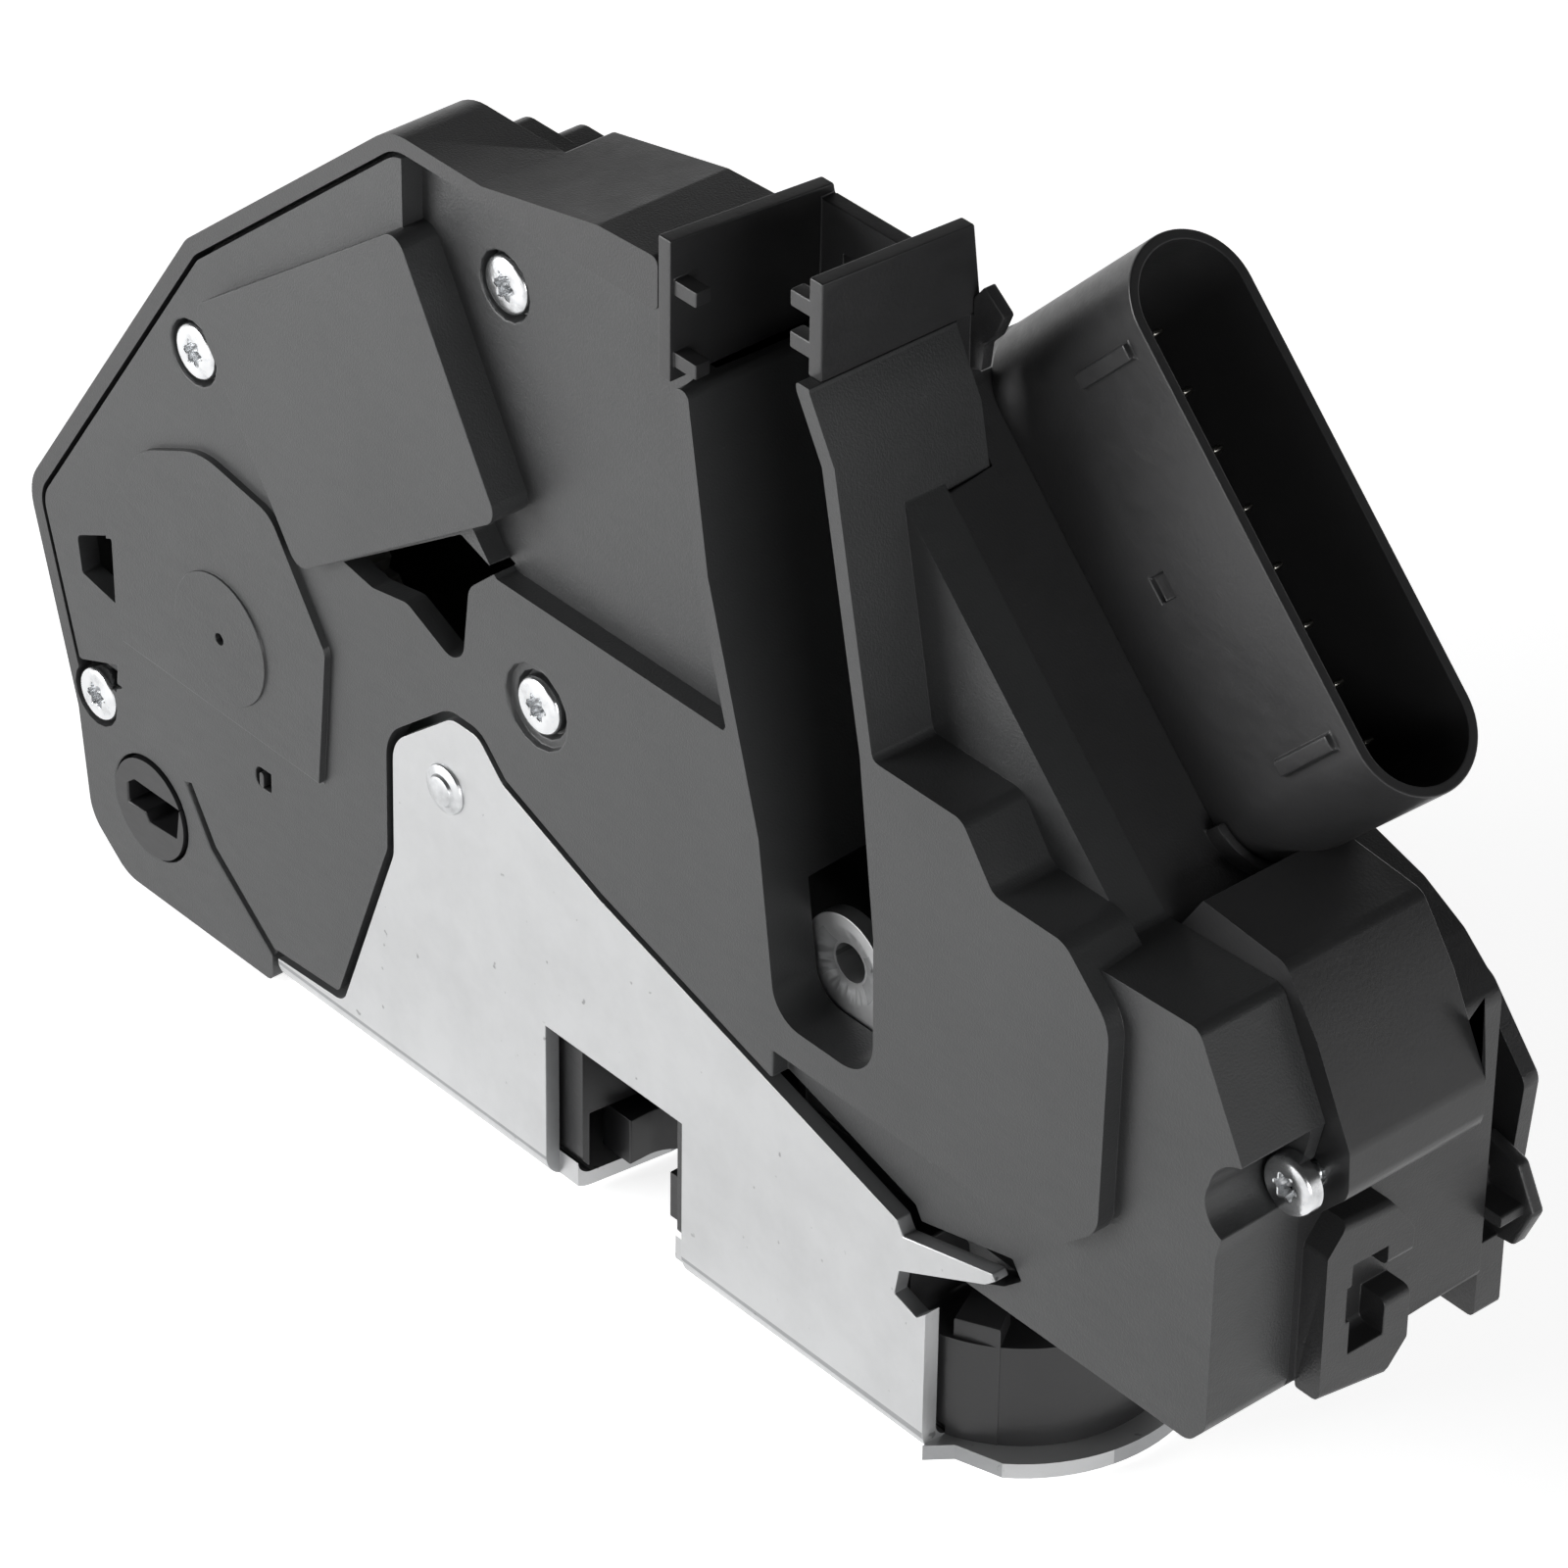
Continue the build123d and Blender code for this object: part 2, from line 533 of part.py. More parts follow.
def release_lever():
    """Outside release lever with the bent tab beside the pawl's lifting pin."""
    near, far = LEVER_Y, LEVER_Y + LEVER_T
    arms = [
        (RIVET_X - 5.0, RIVET_Z - 3), (TAB_RIGHT - 3.4, 27.0, 1), (TAB_RIGHT, 27.0, 0.5), (TAB_RIGHT, 31),
        (RIVET_X + 5.0, RIVET_Z - 4), (RIVET_X + 4.2, RIVET_Z + 4.4), (-38, 53.4, 2), (-43.4, 50.5, 2),
    ]
    body = slab_y(arms, near, far) + post_y(RIVET_X, RIVET_Z, 6, near, far)
    body += block((TAB_RIGHT - LEVER_T, near, 27.0), (TAB_RIGHT, 19.4, 31.5))
    body -= peg_y(-39.4, 49.8, 1.4, 0, 12)
    return body - post_y(RIVET_X, RIVET_Z, RIVET_R + PIN_PLAY, 0, 12)


def inside_lever():
    """Inside release lever on the same rivet, with its cable eye."""
    near, far = INSIDE_LEVER_Y, INSIDE_LEVER_Y + 1.8
    arms = [
        (RIVET_X - 1, RIVET_Z + 5.5), (-44, 36.5, 3), (-45.5, 30.5, 3), (-38.5, 29, 2),
        (RIVET_X - 1, RIVET_Z - 5.5),
    ]
    body = slab_y(arms, near, far) + post_y(RIVET_X, RIVET_Z, 5.6, near, far)
    body -= peg_y(-42, 33.2, 1.5, 0, 12)
    return body - post_y(RIVET_X, RIVET_Z, RIVET_R + PIN_PLAY, 0, 12)


def lever_pin():
    """Rivet of the levers: head outside the flange, shoulder behind it."""
    body = post_y(RIVET_X, RIVET_Z, RIVET_HEAD_R, -RIVET_HEAD_H, 0)
    body += peg_y(RIVET_X, RIVET_Z, RIVET_R, 0, SHEET)
    body += peg_y(RIVET_X, RIVET_Z, RIVET_R + 1.4, SHEET, LEVER_Y - 0.1)
    return body + post_y(RIVET_X, RIVET_Z, RIVET_R, LEVER_Y - 0.1, 13.4)


def lever_spring():
    """Torsion spring of the release levers."""
    start = INSIDE_LEVER_Y + 2.0
    plane = Plane(origin=(RIVET_X, start, RIVET_Z), x_dir=(1, 0, 0), z_dir=(0, 1, 0))
    body = coil(RIVET_R + 0.2, 0.9, 2, plane)
    return body + block((RIVET_X + 2.2, start, RIVET_Z), (RIVET_X + 3.0, start + 0.9, RIVET_Z + 9))


def lever_clip():
    """Push-on ring that keeps the levers on the rivet."""
    near = INSIDE_LEVER_Y + 4.0
    body = peg_y(RIVET_X, RIVET_Z, RIVET_R + 1.8, near, near + 0.8)
    return body - peg_y(RIVET_X, RIVET_Z, RIVET_R + 0.1, near - 1, near + 2, PIN_SIDES)


def rim_gap_face(by, plane_y):
    """Case outline drawn smaller, for the rim, the seal and the cover inside them."""
    return inset(CASE_OUTLINE, by, across(plane_y))


def slot_frame(depth, low):
    """Wall round the cable slot, from the front face to a depth, above a height."""
    frame = offset(drawn(SLOT_OUTLINE, across(0)), amount=SLOT_WALL, kind=Kind.INTERSECTION)
    wall = deep(frame, depth) - slab_y(SLOT_OUTLINE, -1, depth + 1)
    below_guide = block((0, -1, low), (60, depth + 1, GUIDE_LOW))
    right_of_guide = block((25, -1, low), (60, depth + 1, FRAME_TOP))
    return wall & (below_guide + right_of_guide)


def front_cover():
    """Moulded front cover: face plate of the actuator, slot frame, raised panel and right block."""
    plate = deep(rim_gap_face(RIM_W + RIM_GAP, 0), COVER_BACK) & block((-99, -1, 24.6), (24, 9, 130))
    plate += slab_y(LOWER_LEFT, 0, COVER_BACK)
    plate += slab_y(BESIDE_PLATE, 0, HOUSING_FRONT - 0.3)
    plate -= block((GUIDE_LEFT, -1, GUIDE_LOW), (30, 9, 130))
    seat = plate
    plate += slab_y(PANEL, 0, FLOOR_Y) + slab_y(BLOCK_ONE, 2.0, SPLIT_Y)
    plate += slab_y(SLOPE_WALL, FLOOR_Y, SPLIT_Y)
    plate -= slab_y(RECESS_OUTLINE, -1, RECESS)
    plate += slab_y(GEAR_DOME, -0.8, 1)
    plate += post_y(WHEEL_X, WHEEL_Z, 7.5, -1.1, 1)
    plate += slab_y(BOSS, -BOSS_RISE, COVER_BACK)
    plate -= peg_y(WHEEL_X, WHEEL_Z, 0.75, -3, 3)
    plate -= cover_hollows()
    plate += [peg_y(x, z, 4.8, level + 1, COVER_BACK) & seat for x, z, level in SCREWS]
    plate += slot_frame(COVER_BACK + 0.6, 0) + slot_frame(SLOT_DEPTH, 54)
    plate -= slab_y(SLOT_OUTLINE, -1, SPLIT_Y + 1)
    plate -= slab_y(STAR_POCKET, -1, 4.0) + slab_y(LEFT_POCKET, -1, 9)
    plate -= slab_y(SCREW_POCKET, -1, 1.4) + slab_y(CORNER_GROOVE, -1, 0.7)
    plate -= peg_y(SCREWS[3][0], SCREWS[3][1], SCREW_WELL_R + 1.0, -1, 0.7, SHOWN_SIDES)
    plate -= post_y(ROTOR_X, ROTOR_Z, ROTOR_R + 0.3, -3, 9)
    for x, z, level in SCREWS:
        plate -= peg_y(x, z, SCREW_WELL_R, -3, level + SCREW_HEAD_H, SHOWN_SIDES)
        plate -= peg_y(x, z, SCREW_R, -3, 9)
    plate -= lobe_cut()
    plate -= block((20, COVER_BACK + 0.6, 20), (TAB_X + TAB_R + 0.6, SPLIT_Y + 1, TAB_Z + TAB_R + 0.8))
    plate -= post_y(SIDE_SCREW_X + 2, SIDE_SCREW_Z + 0.9, 5.2, -1, SIDE_SEAT)
    plate -= post_y(SIDE_SCREW_X, SIDE_SCREW_Z, SCREW_HEAD_R + 0.4, -1, SIDE_SEAT)
    plate -= peg_y(SIDE_SCREW_X, SIDE_SCREW_Z, SCREW_R, 0, 20)
    return plate


def cover_hollows():
    """Room behind the cover's face, boss, panel and right block."""
    face = slab_y([
        (-33, 27), (-52, 27), (-52, 4), (-79.5, 4), (-84.0, 8), (-85.0, 17), (-82, 24), (-90, 43.2),
        (-63.2, 82.2), (-48, 95), (-30, 76), (-17, 68), (15.6, 68), (19.5, 57), (22, 42), (22, 27),
    ], COVER_T, 9)
    boss = deep(inset(sharp(BOSS), WALL, across(-BOSS_RISE + COVER_T)), 9)
    panel = slab_y([
        (23, 39), (62, 39), (67.0, 43), (67.4, 65), (62, 70), (52, 70), (47, 76), (37.5, 76),
        (38.5, 40),
    ], 2, 9)
    right = slab_y([
        (23, 27), (48.8, 27), (48.8, 25.2), (80, 25.2), (80.8, 46.6), (79, 58), (77.5, 68), (64.5, 67.5),
        (33.2, 67.5), (39.5, 60), (40, 39), (23, 39),
    ], 4.2, 20)
    slope = slab_y([(33.5, 67), (62.5, 67), (62.5, 68), (31.5, 99), (31.5, 80)], 9.4, 20)
    return face + boss + panel + right + slope


def lobe_cut():
    """Room round the steel flange, one gap wider on all sides."""
    grown = offset(drawn(FLANGE_OUTLINE, across(0)), amount=1.0, kind=Kind.INTERSECTION)
    room = deep(grown, COVER_BACK + 0.2)
    return room & block((-60, -1, -1), (60, 9, 55))


def stepped(step, wall, near, far):
    """Case left of the slot, stepped in along its top alone, a wall smaller all round."""
    outline = sharp(CASE_OUTLINE)
    body = deep(inset(outline, step + wall, across(near)), far - near)
    body += Pos(-step, 0, -step) * body
    body += Pos(step, 0, 0) * body
    room = deep(inset(outline, wall, across(near)), far - near)
    return body & room & block((-99, -1, -1), (18, 99, 130))


def actuator_case():
    """Moulded case behind the cover: rim, stepped back, side walls and the sloping top."""
    right_side = [
        (27.4, SOCKET_SUM - 27.4), (65, SOCKET_SUM - 65), (72, SOCKET_SUM - 67, 3), (77.5, 63.6, 2),
        (RIGHT_X, 59, 2), (RIGHT_X, 25.8, 1.5), (80.6, RIGHT_LOW, 1.5), (46.8, RIGHT_LOW), (46.8, 24.6),
    ]
    shell = deep(drawn(CASE_OUTLINE, across(0)), SPLIT_Y + 8) & (
        block((-99, -1, -1), (18, RIM_BACK, 130)) + block((16, -1, 20), (99, 99, 130)))
    shell += stepped(HUMP_INSET, 0, RIM_BACK, HUMP_BACK) + stepped(LEFT_INSET, 0, HUMP_BACK, LEFT_BACK)
    shell += slab_y(TOP_RISE, 0, HUMP_BACK)
    shell += slab_y([(16, 24.6), (16, FRAME_TOP), (27.4, FRAME_TOP)] + right_side, SPLIT_Y, LEFT_BACK)
    shell += slab_y([(16, 24.6), (16, 101)] + right_side, LEFT_BACK, RIGHT_BACK)
    shell -= block((8.9, -1, 20), (99, SPLIT_Y, 130))
    shell -= slab_y(LOWER_LEFT, -1, COVER_BACK)
    shell -= deep(rim_gap_face(RIM_W, -1), COVER_BACK + 1) & block((-99, -1, 20), (24, 9, 130))
    left = block((-99, 0, 0), (16.5, 40, 130))
    ledge = RIM_W + RIM_GAP + WALL
    shell -= deep(rim_gap_face(ledge, COVER_BACK - 0.5), 4.0) & left
    shell -= stepped(0, WALL, COVER_BACK + WALL, RIM_BACK - WALL) & left
    shell -= stepped(HUMP_INSET, WALL, COVER_BACK + WALL, HUMP_BACK - WALL) & left
    shell -= stepped(LEFT_INSET, WALL, COVER_BACK + WALL, LEFT_BACK - WALL) & left
    shell -= block((-56, -1, 24), (-50, COVER_BACK, 30))
    shell -= slab_y([(-50, 20), (-50, 34), (18, 34), (18, 20)], 0, LEFT_BACK - WALL)
    inner_right = [
        (64.2, 66.5), (71.4, 64.4), (76.4, 61.8), (80.8, 58.0), (80.8, 26.5), (48.8, 25.2), (48.8, 20),
    ]
    high_room = [(18, 20), (18, 111.8), (25.4, 111.8), (25.4, 105.3)] + inner_right
    low_room = [(18, 20), (18, 99.5), (26.6, 104.1)] + inner_right
    shell -= slab_y(high_room, SPLIT_Y - 1, LEFT_BACK - WALL)
    shell -= slab_y(low_room, LEFT_BACK - WALL, RIGHT_BACK - WALL)
    shell -= slab_y([(8.8, 34), (8.8, 130), (26, 130), (26, 34)], -1, SLOT_DEPTH + 0.2)
    shell -= deep(offset(drawn(LINER, across(SLOT_DEPTH)), amount=0.1, kind=Kind.INTERSECTION), 2)
    frame_room = inset(sharp(SLOT_OUTLINE), -SLOT_WALL - 0.2, across(SPLIT_Y - 1))
    shell -= deep(frame_room, SLOT_DEPTH + 1.2 - SPLIT_Y)
    shell -= block((GUIDE_LEFT, -1, GUIDE_LOW), (8.9, GUIDE_BACK + 0.8, 130))
    shell -= block((8.4, 10, 106), (GUIDE_RIGHT + 0.1, GUIDE_BACK, 130))
    for (x, z, level), back in zip(SCREWS, SCREW_BACKS):
        shell += peg_y(x, z, SCREW_BOSS_R, COVER_BACK, RIM_BACK + 1) & left
        shell += peg_y(x, z, SCREW_BOSS_R, RIM_BACK, back - 1)
    shell += peg_y(WHEEL_X, WHEEL_Z, 1.8, COVER_BACK + 0.5, LEFT_BACK - 1, PIN_SIDES)
    shell += peg_y(DEAD_X, DEAD_Z, 1.5, COVER_BACK + 0.5, LEFT_BACK - 1, PIN_SIDES)
    shell += peg_y(LOCK_X, LOCK_Z, 1.6, 14, LEFT_BACK - 1, PIN_SIDES)
    shell -= [peg_y(x, z, SCREW_R, 0, level + SCREW_HEAD_H + SCREW_LONG) for x, z, level in SCREWS]
    shell -= socket_plane(0) * Box(44.4, 8.4, 14)
    shell -= extrude(socket_plane(0) * SlotOverall(SOCKET_LONG, SOCKET_WIDE), amount=SOCKET_REACH)
    for x, z, level in SCREWS:
        shell -= peg_y(x, z, SCREW_WELL_R, -3, level + SCREW_HEAD_H, SHOWN_SIDES)
    return shell + snap_loop() + socket_lip() + hook_flag()


def socket_lip():
    """Thin curved lip beside the lower end of the socket."""
    ring = SlotOverall(SOCKET_LONG + 2.4, SOCKET_WIDE + 2.4)
    ring -= SlotOverall(SOCKET_LONG + 0.3, SOCKET_WIDE + 0.3)
    lower_end = socket_plane(0) * Pos(26, -6, 1) * Box(9, 6, 6)
    return extrude(socket_plane(-0.6) * ring, amount=2.8) & lower_end


def hook_flag():
    """Small hooked plate behind the right plate of the cable guide."""
    flag = [
        (27.2, 107.6), (27.2, FRAME_TOP), (27.7, FRAME_TOP), (27.7, 115.6), (29.1, 117.4), (31.9, 115.3),
        (30.8, 112.7), (29.4, 111.2), (29.0, 108.2),
    ]
    return slab_y(flag, GUIDE_BACK - 0.2, GUIDE_BACK + 1.2)


def slot_liner():
    """Flat plate that closes the back of the cable slot."""
    return slab_y(LINER, SLOT_DEPTH + 0.2, SLOT_DEPTH + 2)


def snap_loop():
    """Loop on the right wall that snaps over the lug of the side."""
    outer = [(13.5, 25), (13.5, 42), (16, 45), (22, 44.4), (25, 40), (25, 27), (22, 23.6)]
    loop = slab_x(outer, RIGHT_X, RIGHT_X + 3.2)
    loop -= slab_x([(17, 29), (17, 39.5), (21.6, 39.5), (21.6, 29)], RIGHT_X - 0.5, RIGHT_X + 9)
    loop -= block((RIGHT_X, 16.5, 33), (RIGHT_X + 9, 30, 37))
    return loop


def side_cover():
    """Cap over the right end of the case."""
    profile = [
        (65.2, SOCKET_SUM - 65), (68.5, 73.6, 1), (79.3, 72.6, 2), (83.8, 66.4, 1.5), (88.8, 56.5, 2.5),
        (89, 51.5, 1), (84.4, 46.6), (RIGHT_X, 46.6), (RIGHT_X, 60), (78.5, SOCKET_SUM - 65),
    ]
    body = slab_y(profile, SPLIT_Y, 30)
    body -= extrude(socket_plane(0) * SlotOverall(SOCKET_LONG, SOCKET_WIDE), amount=SOCKET_REACH)
    body -= extrude(socket_plane(-1) * SlotOverall(SOCKET_LONG + 2.8, SOCKET_WIDE + 2.8), amount=4)
    return body - peg_y(SIDE_SCREW_X, SIDE_SCREW_Z, SCREW_R, 0, SIDE_SEAT + SCREW_LONG)


def rear_cover():
    """Cover at the far end of the right block, with its pocket, ear and foot."""
    outline = [
        (42, 27.5), (42, 61, 2), (56, 60), (65, 57.8), (74.5, 52.4, 2), (81.2, 44.5, 2),
        (80.2, 33.8), (80.2, 27.5, 2),
    ]
    body = slab_y(outline, RIGHT_BACK, REAR_BACK)
    hollow = [(44, 29.5), (44, 58.4), (55.5, 58), (64.4, 55.6), (71, 51.6), (71, 29.5)]
    body -= slab_y(hollow, RIGHT_BACK - 1, REAR_BACK - WALL)
    body -= block((73, RIGHT_BACK - 1, 36), (90, REAR_BACK - WALL, 50))
    ear = [(79, 39), (83.8, 37.9), (86.3, 33.1, 1.5), (84.2, 28.4, 1.5), (79, 27.8)]
    body += slab_y(ear, RIGHT_BACK + 3, RIGHT_BACK + 4.6)
    body += block((79, RIGHT_BACK, 32.4), (85, RIGHT_BACK + 3, 33.8))
    return body + block((74.5, RIGHT_BACK + 0.5, 19.5), (82, RIGHT_BACK + 4, 28.5))


def socket_plane(lift):
    """Plane on the sloping top, X down the slope, Z out of the socket."""
    root = math.sqrt(0.5)
    origin = (SOCKET_X + lift * root, SOCKET_Y, SOCKET_SUM - SOCKET_X + lift * root)
    return Plane(origin=origin, x_dir=(root, 0, -root), z_dir=(root, 0, root))


def connector_socket():
    """Long oval shroud of the plug, with its floor, its ribs and the keyhole on the flat side."""
    outer = extrude(socket_plane(0) * SlotOverall(SOCKET_LONG, SOCKET_WIDE), amount=SOCKET_REACH)
    inner = SlotOverall(SOCKET_LONG - 2 * SOCKET_T, SOCKET_WIDE - 2 * SOCKET_T)
    body = outer - extrude(socket_plane(WALL) * inner, amount=SOCKET_REACH)
    for place in (-20.0, 19.5):
        body += socket_plane(SOCKET_REACH - 12) * Pos(place, -SOCKET_WIDE / 2, 5) * Box(1.6, 1.4, 9)
    body -= socket_plane(10) * Pos(0, -SOCKET_WIDE / 2, 0) * Box(2.6, 1.2, 2.4)
    for row, column in PIN_PLACES:
        body -= socket_plane(0) * Pos(column, row, 0) * Box(0.8, 1.6, 9)
    return body


def connector_terminals():
    """Blades that stand in the socket."""
    blade = Box(0.8, 1.6, 15, align=(Align.CENTER, Align.CENTER, Align.MIN))
    return Compound(children=[socket_plane(0) * Pos(column, row, 0) * blade for row, column in PIN_PLACES])


def terminal_carrier():
    """Block under the floor of the socket that holds the blades."""
    return socket_plane(-5) * Box(44, 8, 5, align=(Align.CENTER, Align.CENTER, Align.MIN))


def cable_guide():
    """Guide at the top of the slot: two plates with hooks, a bridge and a back wall."""
    left, right = GUIDE_LEFT, GUIDE_RIGHT
    near_plate = [(0, GUIDE_LOW), (0, 120.4), (20, 119.0, 1), (21, 114), (21, GUIDE_LOW)]
    far_plate = [(1.5, FRAME_TOP), (1.5, 124.2), (20, 123.4, 1), (21, 115), (21, FRAME_TOP)]
    body = slab_x(near_plate, left, left + SLOT_WALL) + slab_x(far_plate, right, right + SLOT_WALL)
    body += block((left + SLOT_WALL, GUIDE_BACK - SLOT_WALL, 106), (right, GUIDE_BACK, 118))
    body -= block((left + 5, 18, 111), (right - 3, 21, 113.4))
    for low in (106.8, 114.6):
        body += block((left + SLOT_WALL, 0.4, low), (left + SLOT_WALL + 3.2, 2.2, low + 1.6))
    for low in (115.6, 120.0):
        body += block((right - 2.6, 1.5, low), (right, 3.2, low + 1.8))
    return body


def gear(x, z, radius, teeth, near, far, bore):
    """Toothed wheel on an axle along Y."""
    pitch = 360 / teeth
    root = radius - 1.4
    flank = [(root, -0.5), (radius, -0.2), (radius, 0.2)]
    corners = [polar((x, z), r, (tooth + part) * pitch) for tooth in range(teeth) for r, part in flank]
    return slab_y(corners, near, far) - post_y(x, z, bore, near - 1, far + 1)


def lock_wheel():
    """Worm wheel of the lock drive with its crank pin."""
    body = gear(WHEEL_X, WHEEL_Z, WHEEL_R, WHEEL_TEETH, DRIVE_Y - 3, DRIVE_Y + 3, 1.8 + PIN_PLAY)
    return body + peg_y(*crank_pin(0), 1.5, DRIVE_Y + 2, DRIVE_Y + 5.4)


def deadlock_wheel():
    """Worm wheel of the deadlock drive."""
    return gear(DEAD_X, DEAD_Z, DEAD_R, DEAD_TEETH, DRIVE_Y - 1.5, DRIVE_Y + 2.5, 1.5 + PIN_PLAY)


def drive_axis(distance):
    """Plane on the lock motor's axis, Z along the shaft, at a distance from the worm."""
    tilt = math.radians(MOTOR_TILT)
    along = (math.cos(tilt), 0, math.sin(tilt))
    reach = WHEEL_R + WORM_R + RUN_GAP
    foot = (WHEEL_X - math.sin(tilt) * reach, DRIVE_Y, WHEEL_Z + math.cos(tilt) * reach)
    origin = tuple(foot[i] + along[i] * distance for i in range(3))
    return Plane(origin=origin, x_dir=(0, 1, 0), z_dir=along)


def dead_axis(distance):
    """Plane on the deadlock motor's axis, Z along the shaft, at a distance from the worm."""
    x = DEAD_X + DEAD_R + DEAD_WORM_R + RUN_GAP
    return Plane(origin=(x, DRIVE_Y + 1.2, DEAD_Z + distance), x_dir=(0, 1, 0), z_dir=(0, 0, 1))


def worm(plane, radius, long, shaft):
    """Worm on its shaft, its thread drawn as a row of collars."""
    base = (Align.CENTER, Align.CENTER, Align.MIN)
    body = Pos(0, 0, -long / 2 - 1.5) * Cylinder(SHAFT_R, 1.5, align=base)
    body += Pos(0, 0, long / 2) * extrude(RegularPolygon(SHAFT_R, HIDDEN_SIDES), amount=shaft - long / 2)
    body += Pos(0, 0, -long / 2) * extrude(RegularPolygon(radius - 1.3, HIDDEN_SIDES), amount=long)
    pitch = long / 3
    for turn in range(3):
        collar = extrude(RegularPolygon(radius, HIDDEN_SIDES), amount=pitch - 2)
        body += Pos(0, 0, -long / 2 + turn * pitch + 1) * collar
    return plane * body


def motor(plane, radius, flat, long):
    """Motor can with two flats, a nose ring and end cap."""
    can = Cylinder(radius, long, align=(Align.CENTER, Align.CENTER, Align.MIN))
    can = can & Box(2 * flat, 4 * radius, 4 * long)
    nose = Pos(0, 0, -1.2) * extrude(RegularPolygon(3.0, HIDDEN_SIDES), amount=1.2)
    bore = extrude(RegularPolygon(SHAFT_R + 0.15, HIDDEN_SIDES), amount=2 * long, both=True)
    return plane * (can + nose - bore)


def lock_motor():
    """Motor of the lock drive."""
    return motor(drive_axis(MOTOR_AT), MOTOR_R, 7.6, MOTOR_LONG)


def lock_worm():
    """Worm on the shaft of the lock motor."""
    return worm(drive_axis(0), WORM_R, 11, MOTOR_AT + 8)


def deadlock_motor():
    """Motor of the deadlock drive."""
    return motor(dead_axis(DEAD_MOTOR_AT), DEAD_MOTOR_R, DEAD_MOTOR_R - 0.4, DEAD_MOTOR_LONG)


def deadlock_worm():
    """Worm on the shaft of the deadlock motor."""
    return worm(dead_axis(0), DEAD_WORM_R, 9, DEAD_MOTOR_AT + 6)


def crank_pin(turn):
    """Place of the wheel's crank pin after a turn."""
    return polar((WHEEL_X, WHEEL_Z), CRANK_R, CRANK_START + turn)


def lock_lever():
    """Lever that the wheel's crank pin swings, with an opening along the pin's path."""
    near = DRIVE_Y + 3.6
    rest_x, rest_z = crank_pin(0)
    lean = math.degrees(math.atan2(rest_z - LOCK_Z, rest_x - LOCK_X))
    pivot = (LOCK_X, LOCK_Z)
    body = slab_y([
        polar(pivot, 3.4, lean + 90), polar(pivot, 15, lean + 17), polar(pivot, 27, lean + 9),
        polar(pivot, 27, lean - 11), polar(pivot, 15, lean - 12.5), polar(pivot, 3.0, lean - 90),
    ], near, near + 2) + post_y(LOCK_X, LOCK_Z, 3.6, near, near + 2)
    for step in range(4):
        turn = CRANK_TURN * step / 3
        x, z = crank_pin(turn)
        reach = math.hypot(x - LOCK_X, z - LOCK_Z)
        bearing = math.degrees(math.atan2(z - LOCK_Z, x - LOCK_X)) - LOCK_RATIO * turn
        body -= peg_y(*polar(pivot, reach, bearing), 2.3, near - 1, near + 3)
    return body - post_y(LOCK_X, LOCK_Z, 1.6 + PIN_PLAY, near - 1, near + 3)


def lock_rotor():
    """Rotor that the key cylinder turns, with its key slot."""
    body = post_y(ROTOR_X, ROTOR_Z, ROTOR_R, -0.3, 8) + peg_y(ROTOR_X, ROTOR_Z, 3.0, 8, 13)
    slot = [
        (-79.6, 12.9), (-78.4, 13.9), (-70.6, 14.0), (-71.2, 10.0), (-76.0, 9.6), (-76.6, 10.6),
        (-79.6, 10.4),
    ]
    return body - slab_y(slot, -1, 5)


def cover_screws():
    """Pan-head screws of the cover."""
    return Compound(children=[screw(x, z, level + SCREW_HEAD_H) for x, z, level in SCREWS])


def side_screw():
    """Pan-head screw of the side cover."""
    return screw(SIDE_SCREW_X, SIDE_SCREW_Z, SIDE_SEAT)


def screw(x, z, seat):
    """Pan-head screw pointing into the door."""
    head = peg_y(x, z, SCREW_HEAD_R, seat - SCREW_HEAD_H, seat, SHOWN_SIDES)
    return head + peg_y(x, z, SCREW_R, seat, seat + SCREW_LONG - 0.5)


def cover_seal():
    """Seal cord in the groove between the rim and the cover."""
    near = COVER_BACK - 2.4
    ring = deep(rim_gap_face(RIM_W, near), 2.4) - deep(rim_gap_face(RIM_W + RIM_GAP, near), 2.4)
    return (ring & block((-99, 0, 24.9), (GUIDE_LEFT, 9, 130))) - block((-58, 0, 20), (10, 9, 32))


def door_switch():
    """Switch that reports the catch, standing on the back plate."""
    low = HOUSING_TOP + BACK_T
    body = block((24, 22, low), (36.8, 28, low + 6.5))
    return body - peg_y(30.4, low + 3.2, 1.6, 21, 26)


def switch_plunger():
    """Button of the switch."""
    return post_y(30.4, HOUSING_TOP + BACK_T + 3.2, 1.4, 20.6, 24.6)


def lead_frame():
    """Plate that carries the leads from the terminals to the motors."""
    lead_sum = SOCKET_SUM - 5 * math.sqrt(2)
    outline = [(19, 30), (19, 94), (lead_sum - 94, 94), (lead_sum - 60, 60), (76, 60), (76, 30)]
    return slab_y(outline, 30, 31.6)


PARTS = [
    face_plate, back_plate, catch, catch_jacket, pawl, catch_pin, pawl_pin, catch_spring, pawl_spring,
    latch_housing, striker_buffer, release_lever, inside_lever, lever_pin, lever_spring, lever_clip,
    front_cover, actuator_case, slot_liner, side_cover, rear_cover, connector_socket, connector_terminals,
    terminal_carrier, cable_guide, lock_wheel, deadlock_wheel, lock_motor, lock_worm, deadlock_motor,
    deadlock_worm, lock_lever, lock_rotor, cover_screws, side_screw, cover_seal, door_switch,
    switch_plunger, lead_frame,
]


def main():
    """Build every piece and write it to its own file."""
    os.makedirs("parts", exist_ok=True)
    for build in PARTS:
        export_step(build(), os.path.join("parts", build.__name__ + ".step"))


if __name__ == "__main__":
    main()
